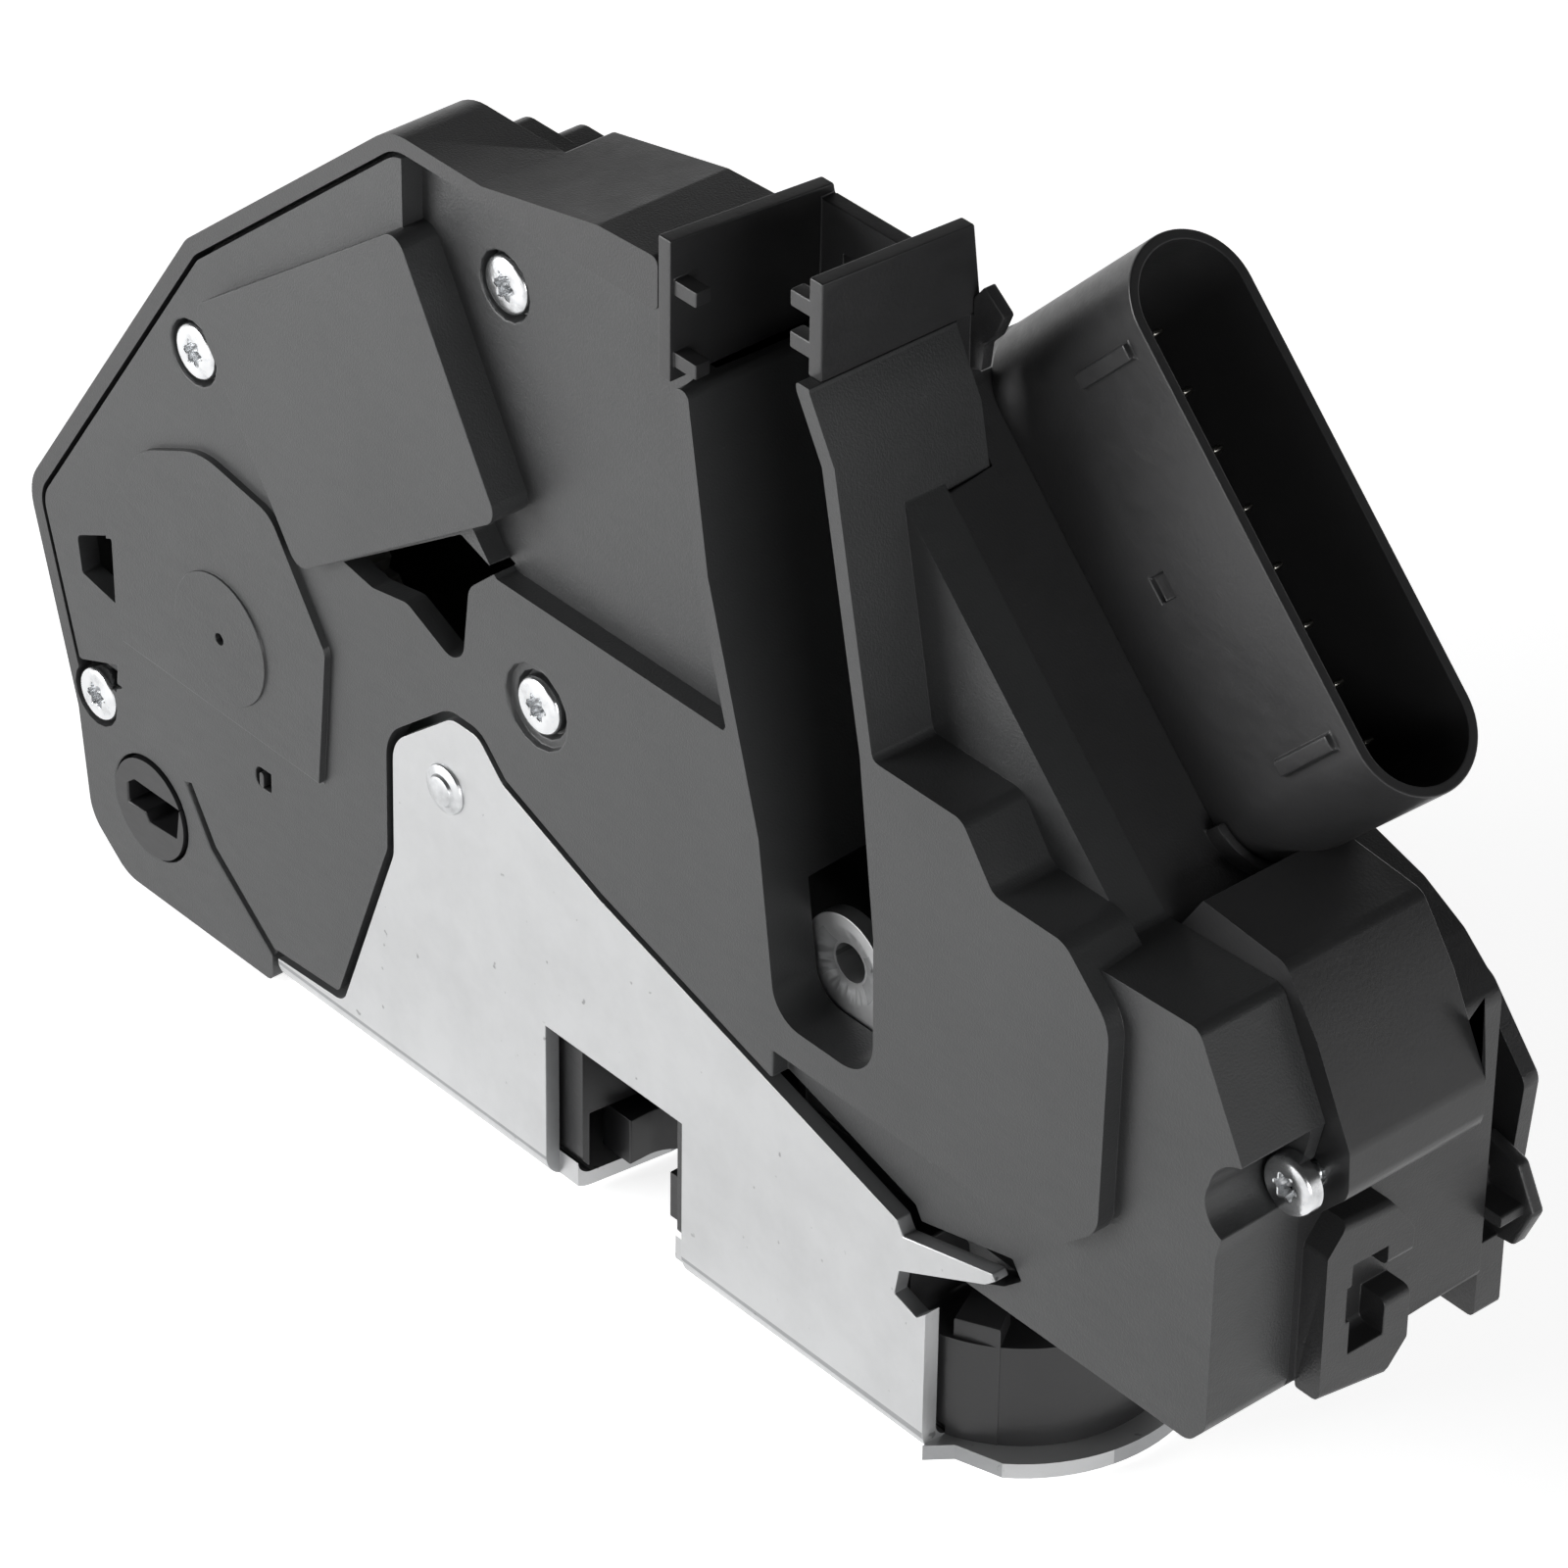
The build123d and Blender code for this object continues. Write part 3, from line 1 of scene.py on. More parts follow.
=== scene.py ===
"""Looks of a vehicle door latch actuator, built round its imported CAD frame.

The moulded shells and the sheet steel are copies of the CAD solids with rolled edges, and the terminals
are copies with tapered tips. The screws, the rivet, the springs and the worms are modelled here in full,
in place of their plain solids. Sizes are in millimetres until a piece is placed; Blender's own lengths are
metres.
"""
import json
import logging
import math
from collections.abc import Callable, Iterable
from dataclasses import dataclass
from enum import Enum

import bpy
from mathutils import Matrix, Vector


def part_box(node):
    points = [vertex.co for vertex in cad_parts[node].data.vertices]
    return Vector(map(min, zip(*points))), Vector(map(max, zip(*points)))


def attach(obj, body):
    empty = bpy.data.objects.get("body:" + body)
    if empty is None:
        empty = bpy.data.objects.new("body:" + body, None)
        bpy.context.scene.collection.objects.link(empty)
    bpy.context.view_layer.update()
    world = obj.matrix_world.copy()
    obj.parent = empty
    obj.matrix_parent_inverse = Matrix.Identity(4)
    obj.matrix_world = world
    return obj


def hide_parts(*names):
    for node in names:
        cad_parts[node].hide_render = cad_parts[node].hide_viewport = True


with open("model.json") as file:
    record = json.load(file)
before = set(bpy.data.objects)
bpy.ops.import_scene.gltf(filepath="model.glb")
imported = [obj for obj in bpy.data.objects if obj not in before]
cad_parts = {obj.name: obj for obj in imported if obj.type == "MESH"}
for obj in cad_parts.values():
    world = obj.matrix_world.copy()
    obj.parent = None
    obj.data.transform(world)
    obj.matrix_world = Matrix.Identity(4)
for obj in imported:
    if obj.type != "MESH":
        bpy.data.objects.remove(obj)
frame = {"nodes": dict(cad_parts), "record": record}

LOG = logging.getLogger("latch")
MM = 0.001
SHADE_ANGLE = 35.0
ROOM_SHARE = 0.42
RUN_ANGLE = 40.0
FLAT_ANGLE = 0.6
WELD_GAP = 0.004 * MM
SEAM_GAP = 0.001 * MM
TINY = 1e-6
FULL_TURN = math.radians(360)
QUARTER_TURN = math.radians(90)

Colour = tuple[float, float, float]
Place = tuple[float, float, float]
Box = tuple[Vector, Vector]
EdgeKey = tuple[int, int]
Picker = Callable[[Vector, Vector], bool]


class Pick(Enum):
    """Part of a mesh that is picked in edit mode."""

    FACES = "FACE"
    EDGES = "EDGE"


class Grain(Enum):
    """Cell count per metre, strength and height of a moulding's grain."""

    SPARKED = (4200.0, 0.22, 0.00018)
    SATIN = (2600.0, 0.12, 0.00015)
    POLISHED = (900.0, 0.05, 0.00012)


class Wear(Enum):
    """How much a moulding has been handled: share of scuffs and their lift in tone."""

    SHOWN = (0.66, 1.55)
    HIDDEN = (0.74, 1.25)


class NodeTree:
    """Shader tree of one finish, with short ways to add and join nodes."""

    def __init__(self, name: str) -> None:
        """Start a material with one shader joined to its output.

        Args:
            name: name of the material.
        """
        self.material = bpy.data.materials.new(name)
        self.material.use_nodes = True
        self.tree = self.material.node_tree
        self.tree.nodes.clear()
        self.shader = self.add("ShaderNodeBsdfPrincipled")
        self.output = self.add("ShaderNodeOutputMaterial")
        self.link(self.shader, "BSDF", self.output, "Surface")
        self.place = self.add("ShaderNodeTexCoord")

    def add(self, kind: str, **settings: object) -> bpy.types.Node:
        """Add a node.

        Args:
            kind: type name of the node.
            settings: properties to set on it.

        Returns:
            The new node.
        """
        node = self.tree.nodes.new(kind)
        for key, value in settings.items():
            setattr(node, key, value)
        return node

    def link(
            self, source: bpy.types.Node, output: str | int, target: bpy.types.Node,
            socket: str | int) -> None:
        """Join an output of one node to an input of another."""
        self.tree.links.new(source.outputs[output], target.inputs[socket])

    def set(self, **values: object) -> None:
        """Set inputs of the shader; an underscore in a name stands for a space."""
        for key, value in values.items():
            self.shader.inputs[key.replace("_", " ")].default_value = value

    def stretched(self, scale: Place) -> bpy.types.Node:
        """Object coordinates stretched along the axes.

        Args:
            scale: factor along x, y and z.

        Returns:
            The mapping node.
        """
        node = self.add("ShaderNodeMapping")
        node.inputs["Scale"].default_value = scale
        self.link(self.place, "Object", node, "Vector")
        return node

    def noise(
            self, scale: float, detail: float = 3.0, rough: float = 0.55,
            source: bpy.types.Node | None = None) -> bpy.types.Node:
        """Noise on object coordinates.

        Args:
            scale: cells per metre.
            detail: octaves.
            rough: weight of the fine octaves.
            source: mapping node to read instead of the plain coordinates.

        Returns:
            The noise node.
        """
        node = self.add("ShaderNodeTexNoise")
        node.inputs["Scale"].default_value = scale
        node.inputs["Detail"].default_value = detail
        node.inputs["Roughness"].default_value = rough
        if source is None:
            self.link(self.place, "Object", node, "Vector")
        else:
            self.link(source, "Vector", node, "Vector")
        return node

    def ramp(self, source: bpy.types.Node, stops: list[tuple[float, Colour]]) -> bpy.types.Node:
        """Colour ramp fed by a node's Fac output.

        Args:
            source: node with a Fac output.
            stops: places and colours of the ramp.

        Returns:
            The ramp node.
        """
        node = self.add("ShaderNodeValToRGB")
        band = node.color_ramp
        while len(band.elements) < len(stops):
            band.elements.new(0.5)
        for element, (place, colour) in zip(band.elements, stops):
            element.position = place
            element.color = (*colour, 1.0)
        self.link(source, "Fac", node, "Fac")
        return node

    def multiply(self, first: bpy.types.Node, second: bpy.types.Node) -> None:
        """Multiply the colours of two ramps into the shader's base colour.

        Args:
            first: ramp of the tone.
            second: ramp of the marks on it.
        """
        node = self.add("ShaderNodeMix", data_type="RGBA", blend_type="MULTIPLY")
        node.inputs["Factor"].default_value = 1.0
        self.link(first, "Color", node, 6)
        self.link(second, "Color", node, 7)
        self.link(node, 2, self.shader, "Base Color")

    def spread(self, source: bpy.types.Node, low: float, high: float, socket: str) -> None:
        """Map a node's Fac onto a socket of the shader between two values.

        Args:
            source: node with a Fac output.
            low: value where the Fac is low.
            high: value where the Fac is high.
            socket: name of the shader's input.
        """
        node = self.add("ShaderNodeMapRange")
        node.inputs["From Min"].default_value = 0.3
        node.inputs["From Max"].default_value = 0.7
        node.inputs["To Min"].default_value = low
        node.inputs["To Max"].default_value = high
        self.link(source, "Fac", node, "Value")
        self.link(node, "Result", self.shader, socket)

    def bump(self, layers: list[tuple[bpy.types.Node, float, float]]) -> None:
        """Stack bumps on the shader's normal.

        Args:
            layers: node with a Fac output, strength and height in metres of each layer.
        """
        before = None
        for source, strength, height in layers:
            node = self.add("ShaderNodeBump")
            node.inputs["Strength"].default_value = strength
            node.inputs["Distance"].default_value = height
            self.link(source, "Fac", node, "Height")
            if before is not None:
                self.link(before, "Normal", node, "Normal")
            before = node
        self.link(before, "Normal", self.shader, "Normal")


def shade(colour: Colour, factor: float) -> Colour:
    """The colour made darker or lighter by a factor."""
    return (colour[0] * factor, colour[1] * factor, colour[2] * factor)


@dataclass(frozen=True)
class MouldedPlastic:
    """Moulded plastic with a spark-eroded grain, flow marks and a few pale scuffs."""

    name: str
    colour: Colour
    roughness: float
    grain: Grain
    wear: Wear = Wear.SHOWN
    specular: float = 0.5

    def material(self) -> bpy.types.Material:
        """Build the material of this finish.

        Returns:
            The material.
        """
        nodes = NodeTree(self.name)
        flow = nodes.noise(38.0, 3.0, 0.55)
        scuffs = nodes.noise(310.0, 7.0, 0.72, nodes.stretched((1.0, 1.0, 2.6)))
        cells, strength, height = self.grain.value
        grain = nodes.noise(cells, 2.0, 0.5)
        share, lift = self.wear.value
        tone = nodes.ramp(flow, [(0.30, shade(self.colour, 0.88)), (0.70, shade(self.colour, 1.10))])
        pale = nodes.ramp(scuffs, [(share, (1.0, 1.0, 1.0)), (share + 0.08, (lift, lift, lift))])
        nodes.multiply(tone, pale)
        nodes.spread(scuffs, self.roughness - 0.04, self.roughness + 0.08, "Roughness")
        nodes.set(Specular_IOR_Level=self.specular, IOR=1.5)
        nodes.bump([(grain, strength, height), (flow, 0.10, 0.0012)])
        return nodes.material


@dataclass(frozen=True)
class PlatedSteel:
    """Zinc plated steel: pale and satin, with rolling lines, cloudy patches and small dark pits."""

    name: str
    colour: Colour
    roughness: float
    pits: float
    metallic: float = 1.0

    def material(self) -> bpy.types.Material:
        """Build the material of this finish.

        Returns:
            The material.
        """
        nodes = NodeTree(self.name)
        cloud = nodes.noise(95.0, 5.0, 0.62)
        rolled = nodes.noise(900.0, 4.0, 0.6, nodes.stretched((0.22, 1.0, 1.0)))
        pits = nodes.noise(620.0, 2.0, 0.5)
        patches = nodes.ramp(cloud, [(0.28, shade(self.colour, 0.90)), (0.62, self.colour)])
        dark = (1.0 - self.pits, 1.0 - self.pits, 1.0 - self.pits)
        spots = nodes.ramp(pits, [(0.255, dark), (0.30, (1.0, 1.0, 1.0))])
        nodes.multiply(patches, spots)
        nodes.spread(cloud, self.roughness + 0.06, self.roughness - 0.04, "Roughness")
        nodes.set(Metallic=self.metallic)
        nodes.bump([(rolled, 0.22, 0.00012), (pits, 0.10, 0.00025), (cloud, 0.08, 0.0006)])
        return nodes.material


@dataclass(frozen=True)
class TurnedMetal:
    """Turned or drawn metal, bright, with fine tool marks and a little stain."""

    name: str
    colour: Colour
    roughness: float

    def material(self) -> bpy.types.Material:
        """Build the material of this finish.

        Returns:
            The material.
        """
        nodes = NodeTree(self.name)
        marks = nodes.noise(2600.0, 2.0, 0.5)
        stain = nodes.noise(420.0, 4.0, 0.6)
        tone = nodes.ramp(stain, [(0.34, shade(self.colour, 0.72)), (0.58, self.colour)])
        nodes.link(tone, "Color", nodes.shader, "Base Color")
        nodes.spread(stain, self.roughness + 0.10, self.roughness - 0.03, "Roughness")
        nodes.set(Metallic=1.0)
        nodes.bump([(marks, 0.10, 0.0001)])
        return nodes.material


@dataclass(frozen=True)
class SoftRubber:
    """Matte rubber with a dusty bloom."""

    name: str
    colour: Colour

    def material(self) -> bpy.types.Material:
        """Build the material of this finish.

        Returns:
            The material.
        """
        nodes = NodeTree(self.name)
        bloom = nodes.noise(240.0, 5.0, 0.7)
        tone = nodes.ramp(bloom, [(0.40, self.colour), (0.75, shade(self.colour, 1.8))])
        nodes.link(tone, "Color", nodes.shader, "Base Color")
        nodes.spread(bloom, 0.72, 0.86, "Roughness")
        nodes.bump([(nodes.noise(2400.0), 0.15, 0.0002)])
        return nodes.material


class Finishes:
    """All the finishes of the part, each made once."""

    def __init__(self) -> None:
        """Make the materials."""
        self._mouldings()
        self._metals()
        self.rubber = SoftRubber("seal_rubber", (0.012, 0.012, 0.013)).material()

    def _mouldings(self) -> None:
        """Make the plastics, the shown ones first."""
        black = (0.036, 0.036, 0.037)
        slate = (0.047, 0.048, 0.049)
        hidden = Wear.HIDDEN
        self.cover = MouldedPlastic("cover_black", slate, 0.38, Grain.SPARKED).material()
        self.case = MouldedPlastic("case_black", black, 0.36, Grain.SPARKED).material()
        self.side = MouldedPlastic("side_black", black, 0.32, Grain.SATIN).material()
        self.guide = MouldedPlastic("guide_black", (0.034, 0.034, 0.035), 0.34, Grain.SATIN).material()
        self.socket = MouldedPlastic("socket_black", black, 0.34, Grain.SATIN).material()
        self.housing = MouldedPlastic("housing_black", (0.028, 0.028, 0.029), 0.34, Grain.SATIN).material()
        jet = (0.016, 0.016, 0.017)
        self.jacket = MouldedPlastic("jacket_black", jet, 0.34, Grain.POLISHED, hidden).material()
        self.carrier = MouldedPlastic("carrier_grey", (0.09, 0.09, 0.10), 0.5, Grain.SATIN, hidden).material()
        ivory = (0.74, 0.73, 0.68)
        self.acetal = MouldedPlastic("gear_acetal", ivory, 0.34, Grain.POLISHED, hidden).material()

    def _metals(self) -> None:
        """Make the steels, the brass and the tin."""
        self.steel = PlatedSteel("zinc_steel", (0.56, 0.565, 0.57), 0.40, 0.45, 0.75).material()
        self.sheared = PlatedSteel("sheared_edge", (0.34, 0.345, 0.35), 0.55, 0.55).material()
        self.claw = PlatedSteel("catch_steel", (0.34, 0.34, 0.35), 0.36, 0.30).material()
        self.screw = TurnedMetal("screw_bright", (0.80, 0.81, 0.82), 0.18).material()
        self.pin = TurnedMetal("pin_steel", (0.60, 0.60, 0.61), 0.30).material()
        self.rivet = TurnedMetal("rivet_zinc", (0.62, 0.63, 0.64), 0.30).material()
        self.wire = TurnedMetal("spring_wire", (0.34, 0.34, 0.35), 0.32).material()
        self.brass = TurnedMetal("worm_brass", (0.72, 0.55, 0.26), 0.28).material()
        self.tin = TurnedMetal("terminal_tin", (0.36, 0.35, 0.32), 0.25).material()
        self.can = TurnedMetal("motor_can", (0.58, 0.58, 0.60), 0.30).material()


def body_of(node: str) -> str:
    """Name of the CAD body that a node belongs to."""
    bodies = frame["record"]["behaviour"]["bodies"]
    return next(body for body, nodes in bodies.items() if node in nodes)


def millimetres(*values: float) -> Vector:
    """Point given in millimetres, in metres."""
    return Vector([value * MM for value in values])


class Workshop:
    """Edit-mode steps that the sub-assemblies share."""

    @staticmethod
    def clear_selection() -> None:
        """Leave edit mode, with nothing selected."""
        if bpy.context.object is not None and bpy.context.object.mode != "OBJECT":
            bpy.ops.object.mode_set(mode="OBJECT")
        bpy.ops.object.select_all(action="DESELECT")

    @staticmethod
    def take(piece: bpy.types.Object) -> None:
        """Make a piece the only selected and active object.

        Args:
            piece: the piece to take.
        """
        Workshop.clear_selection()
        piece.select_set(True)
        bpy.context.view_layer.objects.active = piece

    @staticmethod
    def edit(piece: bpy.types.Object, kind: Pick = Pick.FACES) -> None:
        """Enter edit mode on a piece, with nothing picked.

        Args:
            piece: the piece to edit.
            kind: what is picked in it.
        """
        Workshop.take(piece)
        bpy.ops.object.mode_set(mode="EDIT")
        bpy.ops.mesh.select_mode(type=kind.value)
        bpy.ops.mesh.select_all(action="DESELECT")

    @staticmethod
    def pick_faces(piece: bpy.types.Object, wanted: Picker) -> None:
        """Pick the faces of a piece in edit mode by place and direction.

        Args:
            piece: the piece, in edit mode.
            wanted: says from a face's middle and its normal whether it is picked.
        """
        bpy.ops.mesh.select_mode(type=Pick.FACES.value)
        bpy.ops.mesh.select_all(action="DESELECT")
        bpy.ops.object.mode_set(mode="OBJECT")
        for face in piece.data.polygons:
            face.select = wanted(face.center, face.normal)
        bpy.ops.object.mode_set(mode="EDIT")

    @staticmethod
    def pick_edges(piece: bpy.types.Object, wanted: Picker) -> None:
        """Pick the edges of a piece in edit mode by their two ends.

        Args:
            piece: the piece, in edit mode.
            wanted: says from an edge's ends whether it is picked.
        """
        bpy.ops.mesh.select_mode(type=Pick.EDGES.value)
        bpy.ops.mesh.select_all(action="DESELECT")
        bpy.ops.object.mode_set(mode="OBJECT")
        points = [vertex.co.copy() for vertex in piece.data.vertices]
        for edge in piece.data.edges:
            edge.select = wanted(points[edge.vertices[0]], points[edge.vertices[1]])
        bpy.ops.object.mode_set(mode="EDIT")

    @staticmethod
    def copy_node(node: str, name: str) -> bpy.types.Object:
        """Copy a CAD node's mesh into a new piece, with its loose triangles joined.

        Args:
            node: name of the CAD node.
            name: name of the piece.

        Returns:
            The new piece, its flat faces whole again.
        """
        piece = bpy.data.objects.new(name, frame["nodes"][node].data.copy())
        bpy.context.scene.collection.objects.link(piece)
        Workshop.edit(piece)
        bpy.ops.mesh.select_all(action="SELECT")
        bpy.ops.mesh.customdata_custom_splitnormals_clear()
        bpy.ops.mesh.remove_doubles(threshold=WELD_GAP)
        bpy.ops.mesh.dissolve_limited(angle_limit=math.radians(FLAT_ANGLE))
        bpy.ops.object.mode_set(mode="OBJECT")
        return piece

    @staticmethod
    def solids_of(node: str) -> list[Box]:
        """Boxes of the separate solids of a CAD node, from the lowest x up.

        Args:
            node: name of the CAD node.

        Returns:
            Lowest and highest corner of each solid.
        """
        whole = Workshop.copy_node(node, node + "_scratch")
        Workshop.take(whole)
        bpy.ops.mesh.separate(type="LOOSE")
        loose = list(bpy.context.selected_objects)
        boxes = []
        for part in loose:
            corners = [Vector(corner) for corner in part.bound_box]
            boxes.append((Vector(map(min, *corners)), Vector(map(max, *corners))))
        Workshop.clear_selection()
        for part in loose:
            bpy.data.objects.remove(part)
        return sorted(boxes, key=lambda box: tuple(box[0]))

    @staticmethod
    def room_in_faces(piece: bpy.types.Object) -> tuple[list[float], dict[EdgeKey, float]]:
        """Measure how far each corner and edge of a piece is from what lies across its faces.

        Args:
            piece: the piece to measure.

        Returns:
            Room at each vertex, and at each edge by its key, in metres.
        """
        points = [vertex.co for vertex in piece.data.vertices]
        at_corner = [1.0] * len(points)
        at_edge = {edge.key: 1.0 for edge in piece.data.edges}
        for edge in piece.data.edges:
            long = (points[edge.vertices[0]] - points[edge.vertices[1]]).length
            for index in edge.vertices:
                at_corner[index] = min(at_corner[index], long)
        for face in piece.data.polygons:
            for key in face.edge_keys:
                first, along = points[key[0]], points[key[1]] - points[key[0]]
                square = max(along.length_squared, 1e-14)
                for index in face.vertices:
                    if index in key:
                        continue
                    share = min(1.0, max(0.0, (points[index] - first).dot(along) / square))
                    gap = (points[index] - first - along * share).length
                    at_corner[index] = min(at_corner[index], gap)
                    at_edge[key] = min(at_edge[key], gap)
        return at_corner, at_edge

    @staticmethod
    def runs(piece: bpy.types.Object, keys: Iterable[EdgeKey]) -> list[list[EdgeKey]]:
        """Group edges that run on into each other.

        Args:
            piece: the piece that they belong to.
            keys: keys of the edges.

        Returns:
            The groups, each a list of keys.
        """
        group = {key: key for key in keys}

        def head(key: EdgeKey) -> EdgeKey:
            """Follow an edge to the first one of its group.

            Args:
                key: key of the edge.

            Returns:
                Key of the first edge.
            """
            while group[key] != key:
                key = group[key]
            return key

        at_vertex = {}
        for key in group:
            for index in key:
                at_vertex.setdefault(index, []).append(key)
        points = [vertex.co for vertex in piece.data.vertices]
        for index, meeting in at_vertex.items():
            for place, key in enumerate(meeting):
                one = points[key[0] + key[1] - index] - points[index]
                for other in meeting[place + 1:]:
                    two = points[other[0] + other[1] - index] - points[index]
                    if math.degrees(one.angle(-two, 0.0)) < RUN_ANGLE:
                        group[head(other)] = head(key)
        grouped = {}
        for key in group:
            grouped.setdefault(head(key), []).append(key)
        return list(grouped.values())

    @staticmethod
    def roll_edges(
            piece: bpy.types.Object, width: float, segments: int = 2, sharp: float = 32.0,
            wanted: Picker | None = None) -> None:
        """Round the hard edges of a piece, each as much as the faces beside it have room for.

        Args:
            piece: the piece to finish.
            width: width of the rolled edge in millimetres.
            segments: steps across the edge.
            sharp: edges steeper than this many degrees are rolled.
            wanted: says from an edge's two ends whether it may be rolled.
        """
        at_corner, at_edge = Workshop.room_in_faces(piece)
        normals = {}
        for face in piece.data.polygons:
            for key in face.edge_keys:
                normals.setdefault(key, []).append(face.normal)
        shares = {}
        for edge in piece.data.edges:
            first, second = edge.vertices
            sides = normals.get(edge.key, [])
            steep = len(sides) == 2 and math.degrees(sides[0].angle(sides[1], 0.0)) > sharp
            ends = (piece.data.vertices[first].co, piece.data.vertices[second].co)
            if steep and (wanted is None or wanted(*ends)):
                room = min(at_edge[edge.key], at_corner[first], at_corner[second])
                shares[edge.key] = min(1.0, ROOM_SHARE * room / (width * MM))
        weights = piece.data.attributes.new("bevel_weight_edge", "FLOAT", "EDGE")
        for run in Workshop.runs(piece, shares):
            least = min(shares[key] for key in run)
            for key in run:
                shares[key] = least
        for edge in piece.data.edges:
            weights.data[edge.index].value = shares.get(edge.key, 0.0)
        bevel = piece.modifiers.new("rolled_edges", "BEVEL")
        bevel.width = width * MM
        bevel.segments = segments
        bevel.limit_method = "WEIGHT"
        bevel.use_clamp_overlap = False
        bevel.loop_slide = True
        Workshop.apply(piece)
        piece.data.attributes.remove(piece.data.attributes["bevel_weight_edge"])

    @staticmethod
    def apply(piece: bpy.types.Object) -> None:
        """Apply all the modifiers of a piece.

        Args:
            piece: the piece that has them.
        """
        Workshop.take(piece)
        for modifier in list(piece.modifiers):
            bpy.ops.object.modifier_apply(modifier=modifier.name)

    @staticmethod
    def smooth(piece: bpy.types.Object, degrees: float = SHADE_ANGLE) -> None:
        """Shade a piece smooth below an angle, its broad faces keeping flat.

        Args:
            piece: the piece to shade.
            degrees: edges steeper than this stay hard.
        """
        Workshop.take(piece)
        bpy.ops.object.shade_smooth_by_angle(angle=math.radians(degrees))
        weighted = piece.modifiers.new("broad_faces", "WEIGHTED_NORMAL")
        weighted.keep_sharp = True
        weighted.weight = 100
        Workshop.apply(piece)
        Workshop.clear_selection()

    @staticmethod
    def settle(piece: bpy.types.Object) -> None:
        """Move a piece's place, turn and scale into its mesh."""
        piece.data.transform(piece.matrix_world)
        piece.matrix_world = Matrix.Identity(4)

    @staticmethod
    def join(whole: bpy.types.Object, *others: bpy.types.Object) -> None:
        """Join other pieces into a piece.

        Args:
            whole: the piece that stays.
            others: the pieces that become part of it.
        """
        Workshop.take(whole)
        for other in others:
            other.select_set(True)
        bpy.ops.object.join()

    @staticmethod
    def close_ends(piece: bpy.types.Object) -> None:
        """Fill the open ends of a wound section and turn its faces outwards.

        Args:
            piece: the wound piece.
        """
        Workshop.edit(piece, Pick.EDGES)
        bpy.ops.mesh.select_all(action="SELECT")
        bpy.ops.mesh.remove_doubles(threshold=SEAM_GAP)
        bpy.ops.mesh.select_all(action="DESELECT")
        bpy.ops.mesh.select_non_manifold()
        bpy.ops.mesh.edge_face_add()
        bpy.ops.mesh.select_all(action="SELECT")
        bpy.ops.mesh.normals_make_consistent(inside=False)
        bpy.ops.object.mode_set(mode="OBJECT")

    @staticmethod
    def duplicate(piece: bpy.types.Object, name: str, shift: Vector) -> bpy.types.Object:
        """Copy a piece with its own mesh.

        Args:
            piece: the piece to copy.
            name: name of the copy.
            shift: how far the copy lies from it.

        Returns:
            The copy.
        """
        twin = piece.copy()
        twin.data = piece.data.copy()
        twin.name = name
        bpy.context.scene.collection.objects.link(twin)
        twin.data.transform(Matrix.Translation(shift))
        return twin

    @staticmethod
    def dress(piece: bpy.types.Object, node: str, slot: str, *materials: bpy.types.Material) -> None:
        """Give a piece its materials and its body, in place of a CAD node.

        Args:
            piece: the finished piece.
            node: CAD node that it stands for or belongs to.
            slot: material slot of the record; not used.
            materials: finishes, the first one for faces that name no other.
        """
        if len(materials) == 1:
            piece.data.materials.clear()
        for material in materials[len(piece.data.materials):]:
            piece.data.materials.append(material)
        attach(piece, body_of(node))
        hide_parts(node)
        LOG.info("%s: %d faces", piece.name, len(piece.data.polygons))


@dataclass
class Moulding:
    """Piece made from a CAD solid by rolling its edges, the upright ones more."""

    node: str
    slot: str
    edge: float = 0.3
    upright: float = 0.0
    corner: float = 28.0

    def build(self, material: bpy.types.Material) -> bpy.types.Object:
        """Copy the solid, roll its edges and dress it.

        Args:
            material: finish of the piece.

        Returns:
            The new piece.
        """
        piece = Workshop.copy_node(self.node, self.node + "_body")
        if self.upright:
            self._roll_upright(piece)
        Workshop.roll_edges(piece, self.edge)
        Workshop.smooth(piece)
        Workshop.dress(piece, self.node, self.slot, material)
        return piece

    def _roll_upright(self, piece: bpy.types.Object) -> None:
        """Round the long edges along the drawing direction of the mould.

        Args:
            piece: the copied solid.
        """
        shortest = 2.5 * self.upright * MM

        def upright(first: Vector, second: Vector) -> bool:
            """Edges along Y that are long enough to take the round."""
            along = second - first
            return along.length > shortest and abs(along.y) > 0.98 * along.length

        Workshop.roll_edges(piece, self.upright, 3, self.corner, upright)


@dataclass
class Thread:
    """Ridge of triangular section wound round an axis, for screws and worms."""

    root: float
    crest: float
    pitch: float
    turns: int
    foot: float
    steps: int = 20

    def build(self, name: str, top: float) -> bpy.types.Object:
        """Wind the ridge downwards from a height, round Z.

        Args:
            name: name of the piece.
            top: where it starts, in millimetres.

        Returns:
            The ridge.
        """
        Workshop.clear_selection()
        bpy.ops.mesh.primitive_circle_add(vertices=4, radius=0.5 * MM, fill_type="NOTHING")
        ridge = bpy.context.object
        ridge.name = name
        inner = self.root - 0.15
        flat = self.foot * 0.16
        middle = top - self.foot / 2
        section = [
            (inner, top), (self.crest, middle + flat), (self.crest, middle - flat), (inner, top - self.foot),
        ]
        for vertex, (across, height) in zip(ridge.data.vertices, section):
            vertex.co = millimetres(across, 0.0, height)
        wind = ridge.modifiers.new("wind", "SCREW")
        wind.angle = FULL_TURN
        wind.steps = self.steps
        wind.render_steps = self.steps
        wind.iterations = self.turns
        wind.screw_offset = -self.pitch * MM
        Workshop.apply(ridge)
        Workshop.close_ends(ridge)
        return ridge


